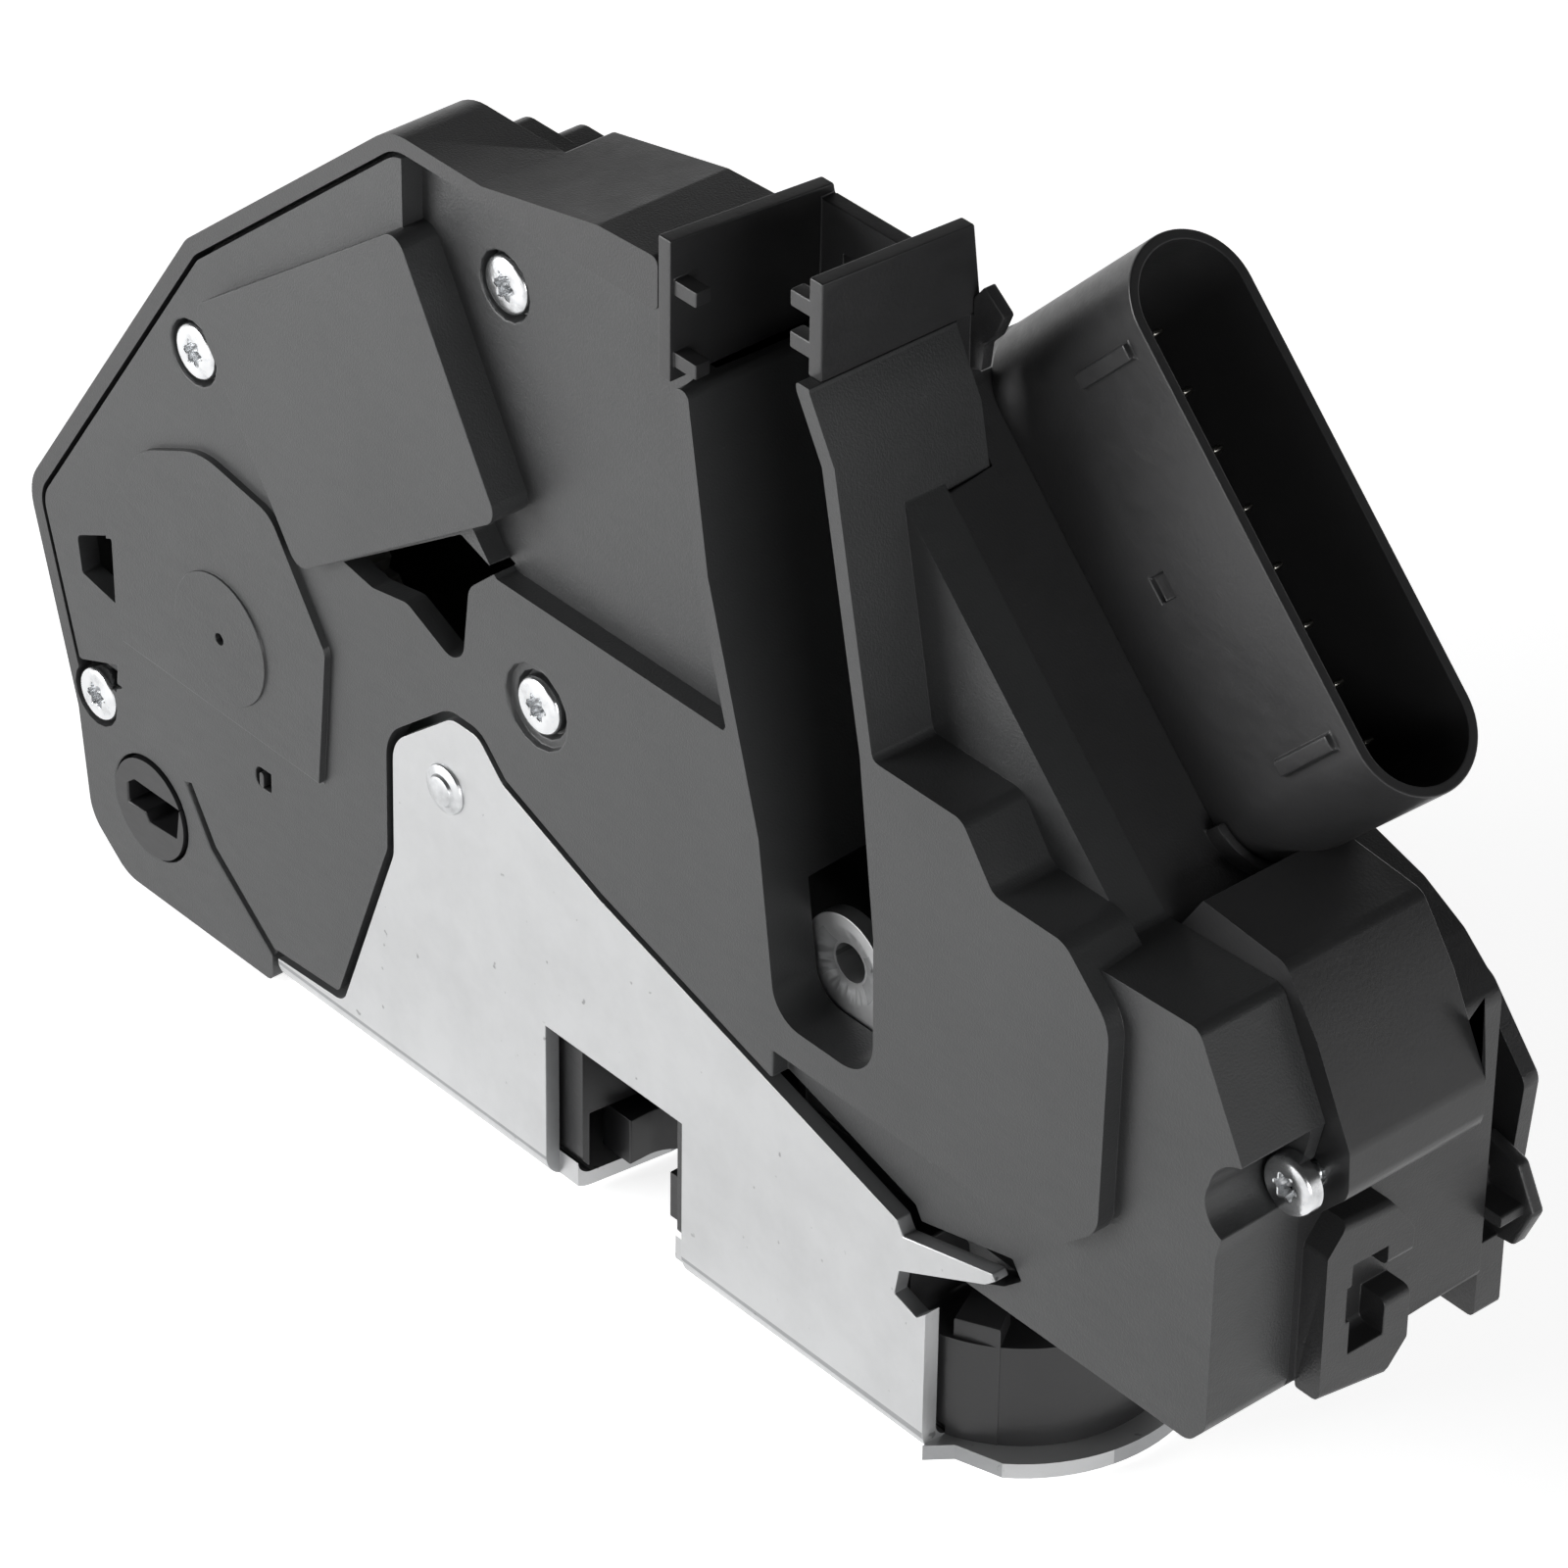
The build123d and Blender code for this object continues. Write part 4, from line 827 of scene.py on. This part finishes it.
@dataclass
class PanScrew:
    """Pan-head screw with a six-lobe recess and a self-cutting thread."""

    head: float = 3.15
    height: float = 1.9
    rim: float = 1.0
    recess: float = 1.62
    depth: float = 1.45
    shank: float = 1.1
    thread: float = 1.5
    pitch: float = 1.1
    length: float = 11.5
    tip: float = 1.2
    round: float = 0.62
    lobes: int = 6

    def build(self, name: str, seat: Vector) -> bpy.types.Object:
        """Model the screw with its seat at a point, its head towards -Y.

        Args:
            name: name of the piece.
            seat: middle of the face under the head, in metres.

        Returns:
            The screw.
        """
        Workshop.clear_selection()
        bpy.ops.mesh.primitive_cylinder_add(
            vertices=self.lobes * 8, radius=self.head * MM, depth=self.height * MM,
            location=(0, 0, self.height * MM / 2), end_fill_type="NGON")
        screw = bpy.context.object
        screw.name = name
        Workshop.settle(screw)
        self._shape_head(screw)
        self._shape_recess(screw)
        self._shape_shank(screw)
        turns = int((self.length - 1.6) / self.pitch)
        thread = Thread(self.shank, self.thread, self.pitch, turns, 0.55).build(name + "_thread", -0.5)
        Workshop.join(screw, thread)
        screw.data.transform(Matrix.Rotation(QUARTER_TURN, 4, "X"))
        screw.data.transform(Matrix.Translation(seat))
        Workshop.smooth(screw, 30.0)
        return screw

    def _shape_head(self, screw: bpy.types.Object) -> None:
        """Round the head's rim and crown its top.

        Args:
            screw: the screw, a plain disc so far.
        """
        Workshop.edit(screw, Pick.EDGES)
        top = self.height * MM
        Workshop.pick_edges(screw, lambda a, b: abs(a.z - top) < TINY and abs(b.z - top) < TINY)
        bpy.ops.mesh.bevel(offset=self.round * MM, segments=4, affect="EDGES")
        Workshop.pick_edges(screw, lambda a, b: abs(a.z) < TINY and abs(b.z) < TINY)
        bpy.ops.mesh.bevel(offset=0.12 * MM, segments=1, affect="EDGES")
        Workshop.pick_faces(screw, lambda middle, normal: abs(middle.z - top) < TINY and abs(normal.z) > 0.9)
        bpy.ops.mesh.inset(thickness=(self.rim - self.round) * MM, depth=0.08 * MM)
        bpy.ops.mesh.inset(thickness=(self.head - self.rim - self.recess) * MM, depth=0)

    def _shape_recess(self, screw: bpy.types.Object) -> None:
        """Draw the six lobes on the picked face and sink them.

        Args:
            screw: the screw, its top face picked.
        """
        bpy.ops.object.mode_set(mode="OBJECT")
        for vertex in screw.data.vertices:
            if vertex.select:
                angle = math.atan2(vertex.co.y, vertex.co.x)
                pull = 0.86 + 0.14 * math.cos(self.lobes * angle)
                vertex.co.x *= pull
                vertex.co.y *= pull
        bpy.ops.object.mode_set(mode="EDIT")
        bpy.ops.mesh.inset(thickness=0.09 * MM, depth=-0.09 * MM)
        floor = self.height - self.depth
        bpy.ops.mesh.extrude_region_move(TRANSFORM_OT_translate={"value": (0, 0, -self.depth * MM)})
        bpy.ops.transform.resize(value=(0.92, 0.92, 1.0), center_override=(0, 0, floor * MM))
        bpy.ops.mesh.inset(thickness=0.5 * MM, depth=-0.3 * MM)

    def _shape_shank(self, screw: bpy.types.Object) -> None:
        """Draw the shank out of the underside and taper its tip.

        Args:
            screw: the screw, in edit mode.
        """
        Workshop.pick_faces(screw, lambda middle, normal: abs(middle.z) < TINY and normal.z < -0.9)
        bpy.ops.mesh.inset(thickness=(self.head - 0.12 - self.shank) * MM, depth=0)
        for step in (self.length - self.tip, self.tip):
            bpy.ops.mesh.extrude_region_move(TRANSFORM_OT_translate={"value": (0, 0, -step * MM)})
        bpy.ops.transform.resize(value=(0.45, 0.45, 1.0), center_override=(0, 0, -self.length * MM))
        bpy.ops.object.mode_set(mode="OBJECT")


@dataclass
class Turning:
    """Round piece spun from a profile about Z."""

    steps: int = 32

    def build(self, name: str, profile: list[tuple[float, float]]) -> bpy.types.Object:
        """Spin a profile that starts and ends on the axis.

        Args:
            name: name of the piece.
            profile: radius and height of its points in millimetres, from the top down.

        Returns:
            The round piece.
        """
        Workshop.clear_selection()
        bpy.ops.mesh.primitive_circle_add(vertices=len(profile), radius=MM, fill_type="NOTHING")
        piece = bpy.context.object
        piece.name = name
        for vertex, (radius, height) in zip(piece.data.vertices, profile):
            vertex.co = millimetres(radius, 0.0, height)
        Workshop.edit(piece, Pick.EDGES)
        Workshop.pick_edges(piece, lambda a, b: abs(a.x) < TINY and abs(b.x) < TINY)
        bpy.ops.mesh.delete(type="EDGE")
        bpy.ops.mesh.select_all(action="SELECT")
        bpy.ops.mesh.spin(steps=self.steps, angle=FULL_TURN, center=(0, 0, 0), axis=(0, 0, 1))
        bpy.ops.mesh.select_all(action="SELECT")
        bpy.ops.mesh.remove_doubles(threshold=SEAM_GAP)
        bpy.ops.mesh.normals_make_consistent(inside=False)
        bpy.ops.object.mode_set(mode="OBJECT")
        return piece


@dataclass(frozen=True)
class TorsionSpring:
    """Close-wound spring with one straight leg, wound round Z with the leg along +Y."""

    inner: float
    sleeve: float
    leg: float
    share: float = 0.62
    sides: int = 10
    steps: int = 26

    def build(self, name: str, place: Matrix) -> bpy.types.Object:
        """Wind the spring and set it in place.

        Args:
            name: name of the piece.
            place: turns and moves it from its own axis, in metres.

        Returns:
            The spring.
        """
        wire = self.sleeve * self.share
        turns = (2 * self.sleeve - wire) / wire
        Workshop.clear_selection()
        middle = self.inner + self.sleeve / 2
        bpy.ops.mesh.primitive_circle_add(
            vertices=self.sides, radius=wire / 2 * MM, location=millimetres(middle, 0, wire / 2),
            rotation=(QUARTER_TURN, 0, 0), fill_type="NOTHING")
        spring = bpy.context.object
        spring.name = name
        Workshop.settle(spring)
        wind = spring.modifiers.new("wind", "SCREW")
        wind.angle = -FULL_TURN * turns
        wind.steps = int(self.steps * turns)
        wind.render_steps = wind.steps
        wind.screw_offset = wire * 1.02 * turns * MM
        Workshop.apply(spring)
        Workshop.close_ends(spring)
        start = self._start_face(spring)
        Workshop.edit(spring)
        Workshop.pick_faces(spring, lambda centre, normal: (centre - start).length < 1e-7)
        bpy.ops.mesh.extrude_region_move(TRANSFORM_OT_translate={"value": (0, self.leg * MM, 0)})
        bpy.ops.object.mode_set(mode="OBJECT")
        spring.data.transform(place)
        Workshop.smooth(spring, 50.0)
        return spring

    def _start_face(self, spring: bpy.types.Object) -> Vector:
        """Middle of the end face that the leg grows from."""
        ends = [face for face in spring.data.polygons if len(face.vertices) == self.sides]
        return min((face.center.copy() for face in ends), key=lambda centre: abs(centre.y) + centre.z)


@dataclass(frozen=True)
class SoftBox:
    """Square soft light, with its place and size in metres and its power in watts."""

    name: str
    place: Place
    size: float
    power: float

    def hang(self, aim: Place) -> None:
        """Hang the light, turned to a point.

        Args:
            aim: the point that it faces, in metres.
        """
        Workshop.clear_selection()
        bpy.ops.object.light_add(type="AREA", location=self.place)
        light = bpy.context.object
        light.name = self.name
        light.data.shape = "SQUARE"
        light.data.size = self.size
        light.data.energy = self.power
        ray = Vector(aim) - Vector(self.place)
        light.rotation_euler = ray.to_track_quat("-Z", "Y").to_euler()


@dataclass
class Studio:
    """Floor, lights, surroundings and camera."""

    eye: Place = (466.217, -391.698, 485.041)
    azimuth: float = 48.4
    elevation: float = 35.2
    roll: float = 0.8
    lens: float = 176.85
    floor_size: float = 12.0
    floor_drop: float = 0.4
    floor_glow: float = 0.80
    ambient: float = 0.05
    ceiling: float = 0.05
    ceiling_low: float = 0.12
    ceiling_high: float = 0.36
    aim: Place = (0.0, 0.02, 0.05)
    boxes: tuple[SoftBox, ...] = (
        SoftBox("key_front_left", (-0.33, -0.44, 0.17), 0.36, 2.9),
        SoftBox("fill_right", (1.45, -0.35, 0.22), 0.8, 9.0),
        SoftBox("fill_front", (0.30, -1.50, 0.10), 0.9, 1.5),
        SoftBox("fill_back", (-0.45, 1.30, 0.16), 0.9, 6.0),
    )

    def build(self) -> None:
        """Set up everything round the part."""
        self._camera()
        self._floor()
        self._world()
        for box in self.boxes:
            box.hang(self.aim)

    def _floor(self) -> None:
        """Lay the pale floor, white to the camera and in reflections, with the part's shadow."""
        Workshop.clear_selection()
        bpy.ops.mesh.primitive_plane_add(size=self.floor_size, location=(0, 0, -self.floor_drop * MM))
        floor = bpy.context.object
        floor.name = "studio_floor"
        nodes = NodeTree("floor_pale")
        nodes.set(Base_Color=(0.86, 0.86, 0.86, 1.0), Roughness=0.9, Specular_IOR_Level=0.1)
        glow = nodes.add("ShaderNodeEmission")
        both = nodes.add("ShaderNodeAddShader")
        level = nodes.add("ShaderNodeMath", operation="MULTIPLY")
        level.inputs[1].default_value = self.floor_glow
        nodes.tree.links.new(self._seen(nodes.tree).outputs[0], level.inputs[0])
        nodes.tree.links.new(level.outputs[0], glow.inputs["Strength"])
        nodes.tree.links.new(nodes.shader.outputs["BSDF"], both.inputs[0])
        nodes.tree.links.new(glow.outputs["Emission"], both.inputs[1])
        nodes.tree.links.new(both.outputs[0], nodes.output.inputs["Surface"])
        floor.data.materials.append(nodes.material)

    @staticmethod
    def _seen(tree: bpy.types.NodeTree) -> bpy.types.Node:
        """Node that is 1 for rays from the camera, in gloss and through glass.

        Args:
            tree: the tree to add it to.

        Returns:
            The node, its first output the value.
        """
        path = tree.nodes.new("ShaderNodeLightPath")
        first = tree.nodes.new("ShaderNodeMath")
        second = tree.nodes.new("ShaderNodeMath")
        first.operation = second.operation = "MAXIMUM"
        tree.links.new(path.outputs["Is Camera Ray"], first.inputs[0])
        tree.links.new(path.outputs["Is Glossy Ray"], first.inputs[1])
        tree.links.new(first.outputs[0], second.inputs[0])
        tree.links.new(path.outputs["Is Transmission Ray"], second.inputs[1])
        return second

    def _world(self) -> None:
        """White surroundings up to head height under a dark ceiling, and a low even light."""
        world = bpy.data.worlds.new("studio")
        bpy.context.scene.world = world
        world.use_nodes = True
        tree = world.node_tree
        background = tree.nodes["Background"]
        place = tree.nodes.new("ShaderNodeTexCoord")
        split = tree.nodes.new("ShaderNodeSeparateXYZ")
        height = tree.nodes.new("ShaderNodeMapRange")
        height.inputs["From Min"].default_value = self.ceiling_low
        height.inputs["From Max"].default_value = self.ceiling_high
        height.inputs["To Min"].default_value = 1.0
        height.inputs["To Max"].default_value = self.ceiling
        tree.links.new(place.outputs["Object"], split.inputs["Vector"])
        tree.links.new(split.outputs["Z"], height.inputs["Value"])
        level = tree.nodes.new("ShaderNodeMix")
        level.data_type = "FLOAT"
        level.inputs[2].default_value = self.ambient
        tree.links.new(self._seen(tree).outputs[0], level.inputs["Factor"])
        tree.links.new(height.outputs["Result"], level.inputs[3])
        tree.links.new(level.outputs[0], background.inputs["Strength"])
        background.inputs["Color"].default_value = (1.0, 1.0, 1.0, 1.0)

    def _camera(self) -> None:
        """Stand the camera where the photograph was taken."""
        azimuth, elevation = math.radians(self.azimuth), math.radians(self.elevation)
        level = math.cos(elevation)
        forward = Vector((-math.sin(azimuth) * level, math.cos(azimuth) * level, -math.sin(elevation)))
        right = Vector((math.cos(azimuth), math.sin(azimuth), 0.0))
        up = right.cross(forward)
        turn = math.radians(self.roll)
        rolled_right = right * math.cos(turn) + up * math.sin(turn)
        rolled_up = up * math.cos(turn) - right * math.sin(turn)
        bpy.ops.object.camera_add(location=millimetres(*self.eye))
        camera = bpy.context.object
        camera.name = "photo_camera"
        basis = Matrix((rolled_right, rolled_up, -forward)).transposed().to_4x4()
        camera.matrix_world = Matrix.Translation(millimetres(*self.eye)) @ basis
        camera.data.sensor_width = 36.0
        camera.data.lens = self.lens
        camera.data.clip_end = 30.0
        bpy.context.scene.camera = camera
        bpy.context.scene.view_settings.view_transform = "Standard"


@dataclass
class Shells:
    """Moulded shells of the actuator and the latch housing."""

    slot: str = "case_plastic"
    cap_edge: float = 1.7
    cap_left: float = 68.0
    cap_rib: float = 8.0

    def build(self, finishes: Finishes) -> None:
        """Build the shells.

        Args:
            finishes: the materials.
        """
        for node, edge, upright, material in (
                ("front_cover", 0.34, 0.9, finishes.cover),
                ("actuator_case", 0.34, 0.9, finishes.case),
                ("rear_cover", 0.4, 0.8, finishes.case),
                ("slot_liner", 0.2, 0.0, finishes.guide),
                ("cable_guide", 0.22, 0.0, finishes.guide),
                ("connector_socket", 0.26, 0.0, finishes.socket),
                ("latch_housing", 0.3, 0.8, finishes.housing)):
            Moulding(node, self.slot, edge, upright).build(material)
        self._side_cover(finishes)

    def _side_cover(self, finishes: Finishes) -> None:
        """Round the cap's outer edges well, then the rest a little.

        Args:
            finishes: the materials.
        """
        piece = Workshop.copy_node("side_cover", "side_cover_body")
        low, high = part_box("side_cover")
        back = high.y - 0.2 * MM
        outer = low.z + 0.6 * MM

        def rounded(first: Vector, second: Vector) -> bool:
            """Say whether an edge lies along Y on the cap's outside, or round its far end.

            Args:
                first: one end of the edge.
                second: its other end.

            Returns:
                Whether it takes the large round.
            """
            along = abs(first.y - second.y) > self.cap_rib * MM
            outside = min(first.x, second.x) > self.cap_left * MM and min(first.z, second.z) > outer
            far = first.y > back and second.y > back and outside
            return (along and outside) or far

        Workshop.roll_edges(piece, self.cap_edge, 4, 20.0, rounded)
        Workshop.roll_edges(piece, 0.4)
        Workshop.smooth(piece)
        Workshop.dress(piece, "side_cover", self.slot, finishes.side)


@dataclass
class SheetSteel:
    """Pressed steel pieces of the latch, pale on their faces and rough on their sheared edges."""

    edge: float = 0.16
    thickness: float = 1.9
    nodes: tuple[str, ...] = ("face_plate", "back_plate", "release_lever", "inside_lever")

    def build(self, finishes: Finishes) -> None:
        """Build the steel pieces.

        Args:
            finishes: the materials.
        """
        for node in self.nodes:
            piece = Workshop.copy_node(node, node + "_sheet")
            piece.data.materials.clear()
            piece.data.materials.append(finishes.steel)
            piece.data.materials.append(finishes.sheared)
            self._mark_sheared(piece)
            Workshop.roll_edges(piece, self.edge)
            Workshop.smooth(piece)
            Workshop.dress(piece, node, "zinc_steel", finishes.steel, finishes.sheared)

    def _mark_sheared(self, piece: bpy.types.Object) -> None:
        """Give the narrow faces across the sheet the sheared finish.

        Args:
            piece: the sheet, its two finishes in place.
        """
        limit = self.thickness * MM
        points = [vertex.co for vertex in piece.data.vertices]
        for face in piece.data.polygons:
            corners = [points[index] for index in face.vertices]
            spans = [max(c[axis] for c in corners) - min(c[axis] for c in corners) for axis in range(3)]
            level = max(range(3), key=lambda axis: abs(face.normal[axis]))
            across = [axis for axis in (1, 2) if axis != level and spans[axis] < limit]
            if across and abs(face.normal[across[0]]) < 0.2 and max(spans) > 0.1 * MM:
                face.material_index = 1


@dataclass
class LeverRivet:
    """Rivet of the levers, with the stepped and domed head that its press leaves."""

    head: float = 2.8
    button: float = 1.75
    shank: float = 2.0
    shoulder: float = 3.4
    near: float = 1.8
    far: float = 5.3
    rise: float = 1.0

    def build(self, finishes: Finishes) -> None:
        """Turn the rivet in place of its plain solid.

        Args:
            finishes: the materials.
        """
        low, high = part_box("lever_pin")
        middle = Vector(((low.x + high.x) / 2, 0.0, (low.z + high.z) / 2))
        length = high.y / MM
        rise, button, head, shank = self.rise, self.button, self.head, self.shank
        profile = [
            (0.0, rise), (button - 0.5, rise), (button - 0.1, rise - 0.12), (button, rise - 0.3),
            (button + 0.1, rise - 0.42), (head - 0.5, rise - 0.5), (head - 0.1, rise - 0.68),
            (head, rise - 0.85), (head, 0.0), (shank, 0.0), (shank, -self.near), (self.shoulder, -self.near),
            (self.shoulder, -self.far), (shank, -self.far), (shank, -length + 0.3), (shank - 0.3, -length),
            (0.0, -length),
        ]
        rivet = Turning(48).build("lever_rivet", profile)
        rivet.data.transform(Matrix.Rotation(QUARTER_TURN, 4, "X"))
        rivet.data.transform(Matrix.Translation(middle))
        Workshop.smooth(rivet, 30.0)
        Workshop.dress(rivet, "lever_pin", "pin_steel", finishes.rivet)


@dataclass
class WormDrive:
    """Worm with its wound thread, on the shaft of its motor."""

    node: str
    radius: float
    long: float
    shaft: float
    tilt: float
    tooth: float = 1.3
    journal: float = 1.5
    pitch: float = 2.6
    foot: float = 1.7
    steps: int = 28

    def build(self, finishes: Finishes) -> None:
        """Turn the worm and wind its thread along the axis of its CAD solid.

        Args:
            finishes: the materials.
        """
        half = self.long / 2
        core = self.radius - self.tooth
        end = half + self.journal
        profile = [
            (0.0, self.shaft), (0.8, self.shaft), (1.0, self.shaft - 0.2), (1.0, half), (core, half - 0.3),
            (core, -half + 0.3), (1.0, -half), (1.0, -end + 0.2), (0.8, -end), (0.0, -end),
        ]
        worm = Turning(self.steps).build(self.node + "_turned", profile)
        turns = int((self.long - 1.4) / self.pitch)
        thread = Thread(core, self.radius, self.pitch, turns, self.foot, self.steps)
        ridge = thread.build(self.node + "_thread", half - 0.5)
        Workshop.join(worm, ridge)
        worm.data.transform(self._place())
        Workshop.smooth(worm, 40.0)
        Workshop.dress(worm, self.node, "worm_brass", finishes.brass)

    def _place(self) -> Matrix:
        """Turn onto the drive's axis, the free end of the shaft laid on the CAD solid's.

        Returns:
            The place of the worm.
        """
        turn = Matrix.Rotation(math.radians(self.tilt), 4, "Y")
        axis = turn @ Vector((0.0, 0.0, 1.0))
        points = [vertex.co for vertex in frame["nodes"][self.node].data.vertices]
        far = max(point.dot(axis) for point in points)
        tip = [point for point in points if point.dot(axis) > far - 0.02 * MM]
        middle = Vector([(min(row) + max(row)) / 2 for row in zip(*tip)])
        return Matrix.Translation(middle - axis * self.shaft * MM) @ turn


@dataclass
class Terminals:
    """Blades of the connector, their tips tapered."""

    taper: float = 0.9
    pinch: float = 0.24

    def build(self, finishes: Finishes) -> None:
        """Copy the blades and taper every tip.

        Args:
            finishes: the materials.
        """
        out = Vector((math.sqrt(0.5), 0.0, math.sqrt(0.5)))
        piece = Workshop.copy_node("connector_terminals", "connector_blades")
        tip = max(vertex.co.dot(out) for vertex in piece.data.vertices)
        Workshop.edit(piece)
        Workshop.pick_faces(
            piece, lambda middle, normal: middle.dot(out) > tip - 0.05 * MM and normal.dot(out) > 0.9)
        bpy.ops.transform.translate(value=-out * self.taper * MM)
        bpy.ops.mesh.inset(thickness=self.pinch * MM, depth=self.taper * MM, use_individual=True)
        bpy.ops.object.mode_set(mode="OBJECT")
        Workshop.roll_edges(piece, 0.08, 1)
        Workshop.smooth(piece)
        Workshop.dress(piece, "connector_terminals", "terminal_tin", finishes.tin)


@dataclass
class Springs:
    """Torsion springs of the catch, the pawl and the levers."""

    catch: TorsionSpring = TorsionSpring(3.3, 1.2, 12.0)
    pawl: TorsionSpring = TorsionSpring(2.3, 0.9, 9.0)
    lever: TorsionSpring = TorsionSpring(2.2, 0.9, 9.0)

    def build(self, finishes: Finishes) -> None:
        """Wind the three springs on their pins.

        Args:
            finishes: the materials.
        """
        quarter = Matrix.Rotation(QUARTER_TURN, 4, "Z")
        for node, spring, place in (
                ("catch_spring", self.catch, self._axis("catch_pin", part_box("catch_spring")[0].z)),
                ("pawl_spring", self.pawl, self._axis("pawl_pin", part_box("pawl_spring")[0].z) @ quarter),
                ("lever_spring", self.lever, self._rivet_axis())):
            piece = spring.build(node + "_wire", place)
            Workshop.dress(piece, node, "spring_steel", finishes.wire)

    def _rivet_axis(self) -> Matrix:
        """Place on the rivet's axis, at the back of its spring.

        Returns:
            The place, its Z along -Y.
        """
        low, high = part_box("lever_pin")
        middle = (low + high) / 2
        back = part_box("lever_spring")[1].y
        return Matrix.Translation(Vector((middle.x, back, middle.z))) @ Matrix.Rotation(QUARTER_TURN, 4, "X")

    def _axis(self, pin: str, height: float) -> Matrix:
        """Place on a pin's axis at a height in metres."""
        low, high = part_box(pin)
        return Matrix.Translation(Vector(((low.x + high.x) / 2, (low.y + high.y) / 2, height)))


@dataclass
class Fasteners:
    """Screws of the covers, one modelled and the rest copied."""

    nodes: tuple[str, ...] = ("cover_screws", "side_screw")

    def build(self, finishes: Finishes) -> None:
        """Set a screw at each place that the CAD gives.

        Args:
            finishes: the materials.
        """
        seats = [(node, self._seat(box)) for node in self.nodes for box in Workshop.solids_of(node)]
        first_node, first_seat = seats[0]
        first = PanScrew().build("pan_screw_1", first_seat)
        screws = [(first_node, first)]
        for index, (node, seat) in enumerate(seats[1:], start=2):
            screws.append((node, Workshop.duplicate(first, f"pan_screw_{index}", seat - first_seat)))
        for node, screw in screws:
            Workshop.dress(screw, node, "screw_steel", finishes.screw)

    def _seat(self, box: Box) -> Vector:
        """Middle of the face under a screw's head."""
        low, high = box
        return Vector(((low.x + high.x) / 2, low.y + PanScrew.height * MM, (low.z + high.z) / 2))


class Works:
    """Catch, pawl, wheels, motors and the other pieces inside, finished from their solids."""

    def __init__(self, finishes: Finishes) -> None:
        """Lay out the plan: node, slot, rolled edge in millimetres and finish.

        Args:
            finishes: the materials.
        """
        self.plan = (
            ("catch", "catch_steel", 0.25, finishes.claw),
            ("catch_jacket", "jacket_plastic", 0.2, finishes.jacket),
            ("pawl", "catch_steel", 0.25, finishes.claw),
            ("catch_pin", "pin_steel", 0.2, finishes.pin),
            ("pawl_pin", "pin_steel", 0.2, finishes.pin),
            ("lever_clip", "spring_steel", 0.12, finishes.wire),
            ("striker_buffer", "rubber", 0.5, finishes.rubber),
            ("lock_wheel", "gear_plastic", 0.2, finishes.acetal),
            ("deadlock_wheel", "gear_plastic", 0.2, finishes.acetal),
            ("lock_lever", "gear_plastic", 0.3, finishes.acetal),
            ("lock_motor", "motor_steel", 0.7, finishes.can),
            ("deadlock_motor", "motor_steel", 0.7, finishes.can),
            ("lock_rotor", "rotor_plastic", 0.25, finishes.jacket),
            ("door_switch", "carrier_plastic", 0.3, finishes.carrier),
            ("switch_plunger", "gear_plastic", 0.3, finishes.acetal),
            ("cover_seal", "rubber", 0.12, finishes.rubber),
            ("terminal_carrier", "carrier_plastic", 0.3, finishes.carrier),
            ("lead_frame", "carrier_plastic", 0.3, finishes.carrier),
        )

    def build(self) -> None:
        """Roll their edges and dress them."""
        for node, slot, edge, material in self.plan:
            Moulding(node, slot, edge).build(material)


def main() -> None:
    """Build the looks in order."""
    logging.basicConfig(level=logging.INFO, format="%(message)s")
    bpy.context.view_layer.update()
    Workshop.clear_selection()
    Studio().build()
    finishes = Finishes()
    Shells().build(finishes)
    SheetSteel().build(finishes)
    LeverRivet().build(finishes)
    Springs().build(finishes)
    WormDrive("lock_worm", radius=4.0, long=11.0, shaft=32.0, tilt=54.0).build(finishes)
    WormDrive("deadlock_worm", radius=3.0, long=9.0, shaft=17.5, tilt=0.0).build(finishes)
    Terminals().build(finishes)
    Works(finishes).build()
    Fasteners().build(finishes)


if __name__ == "__main__":
    main()
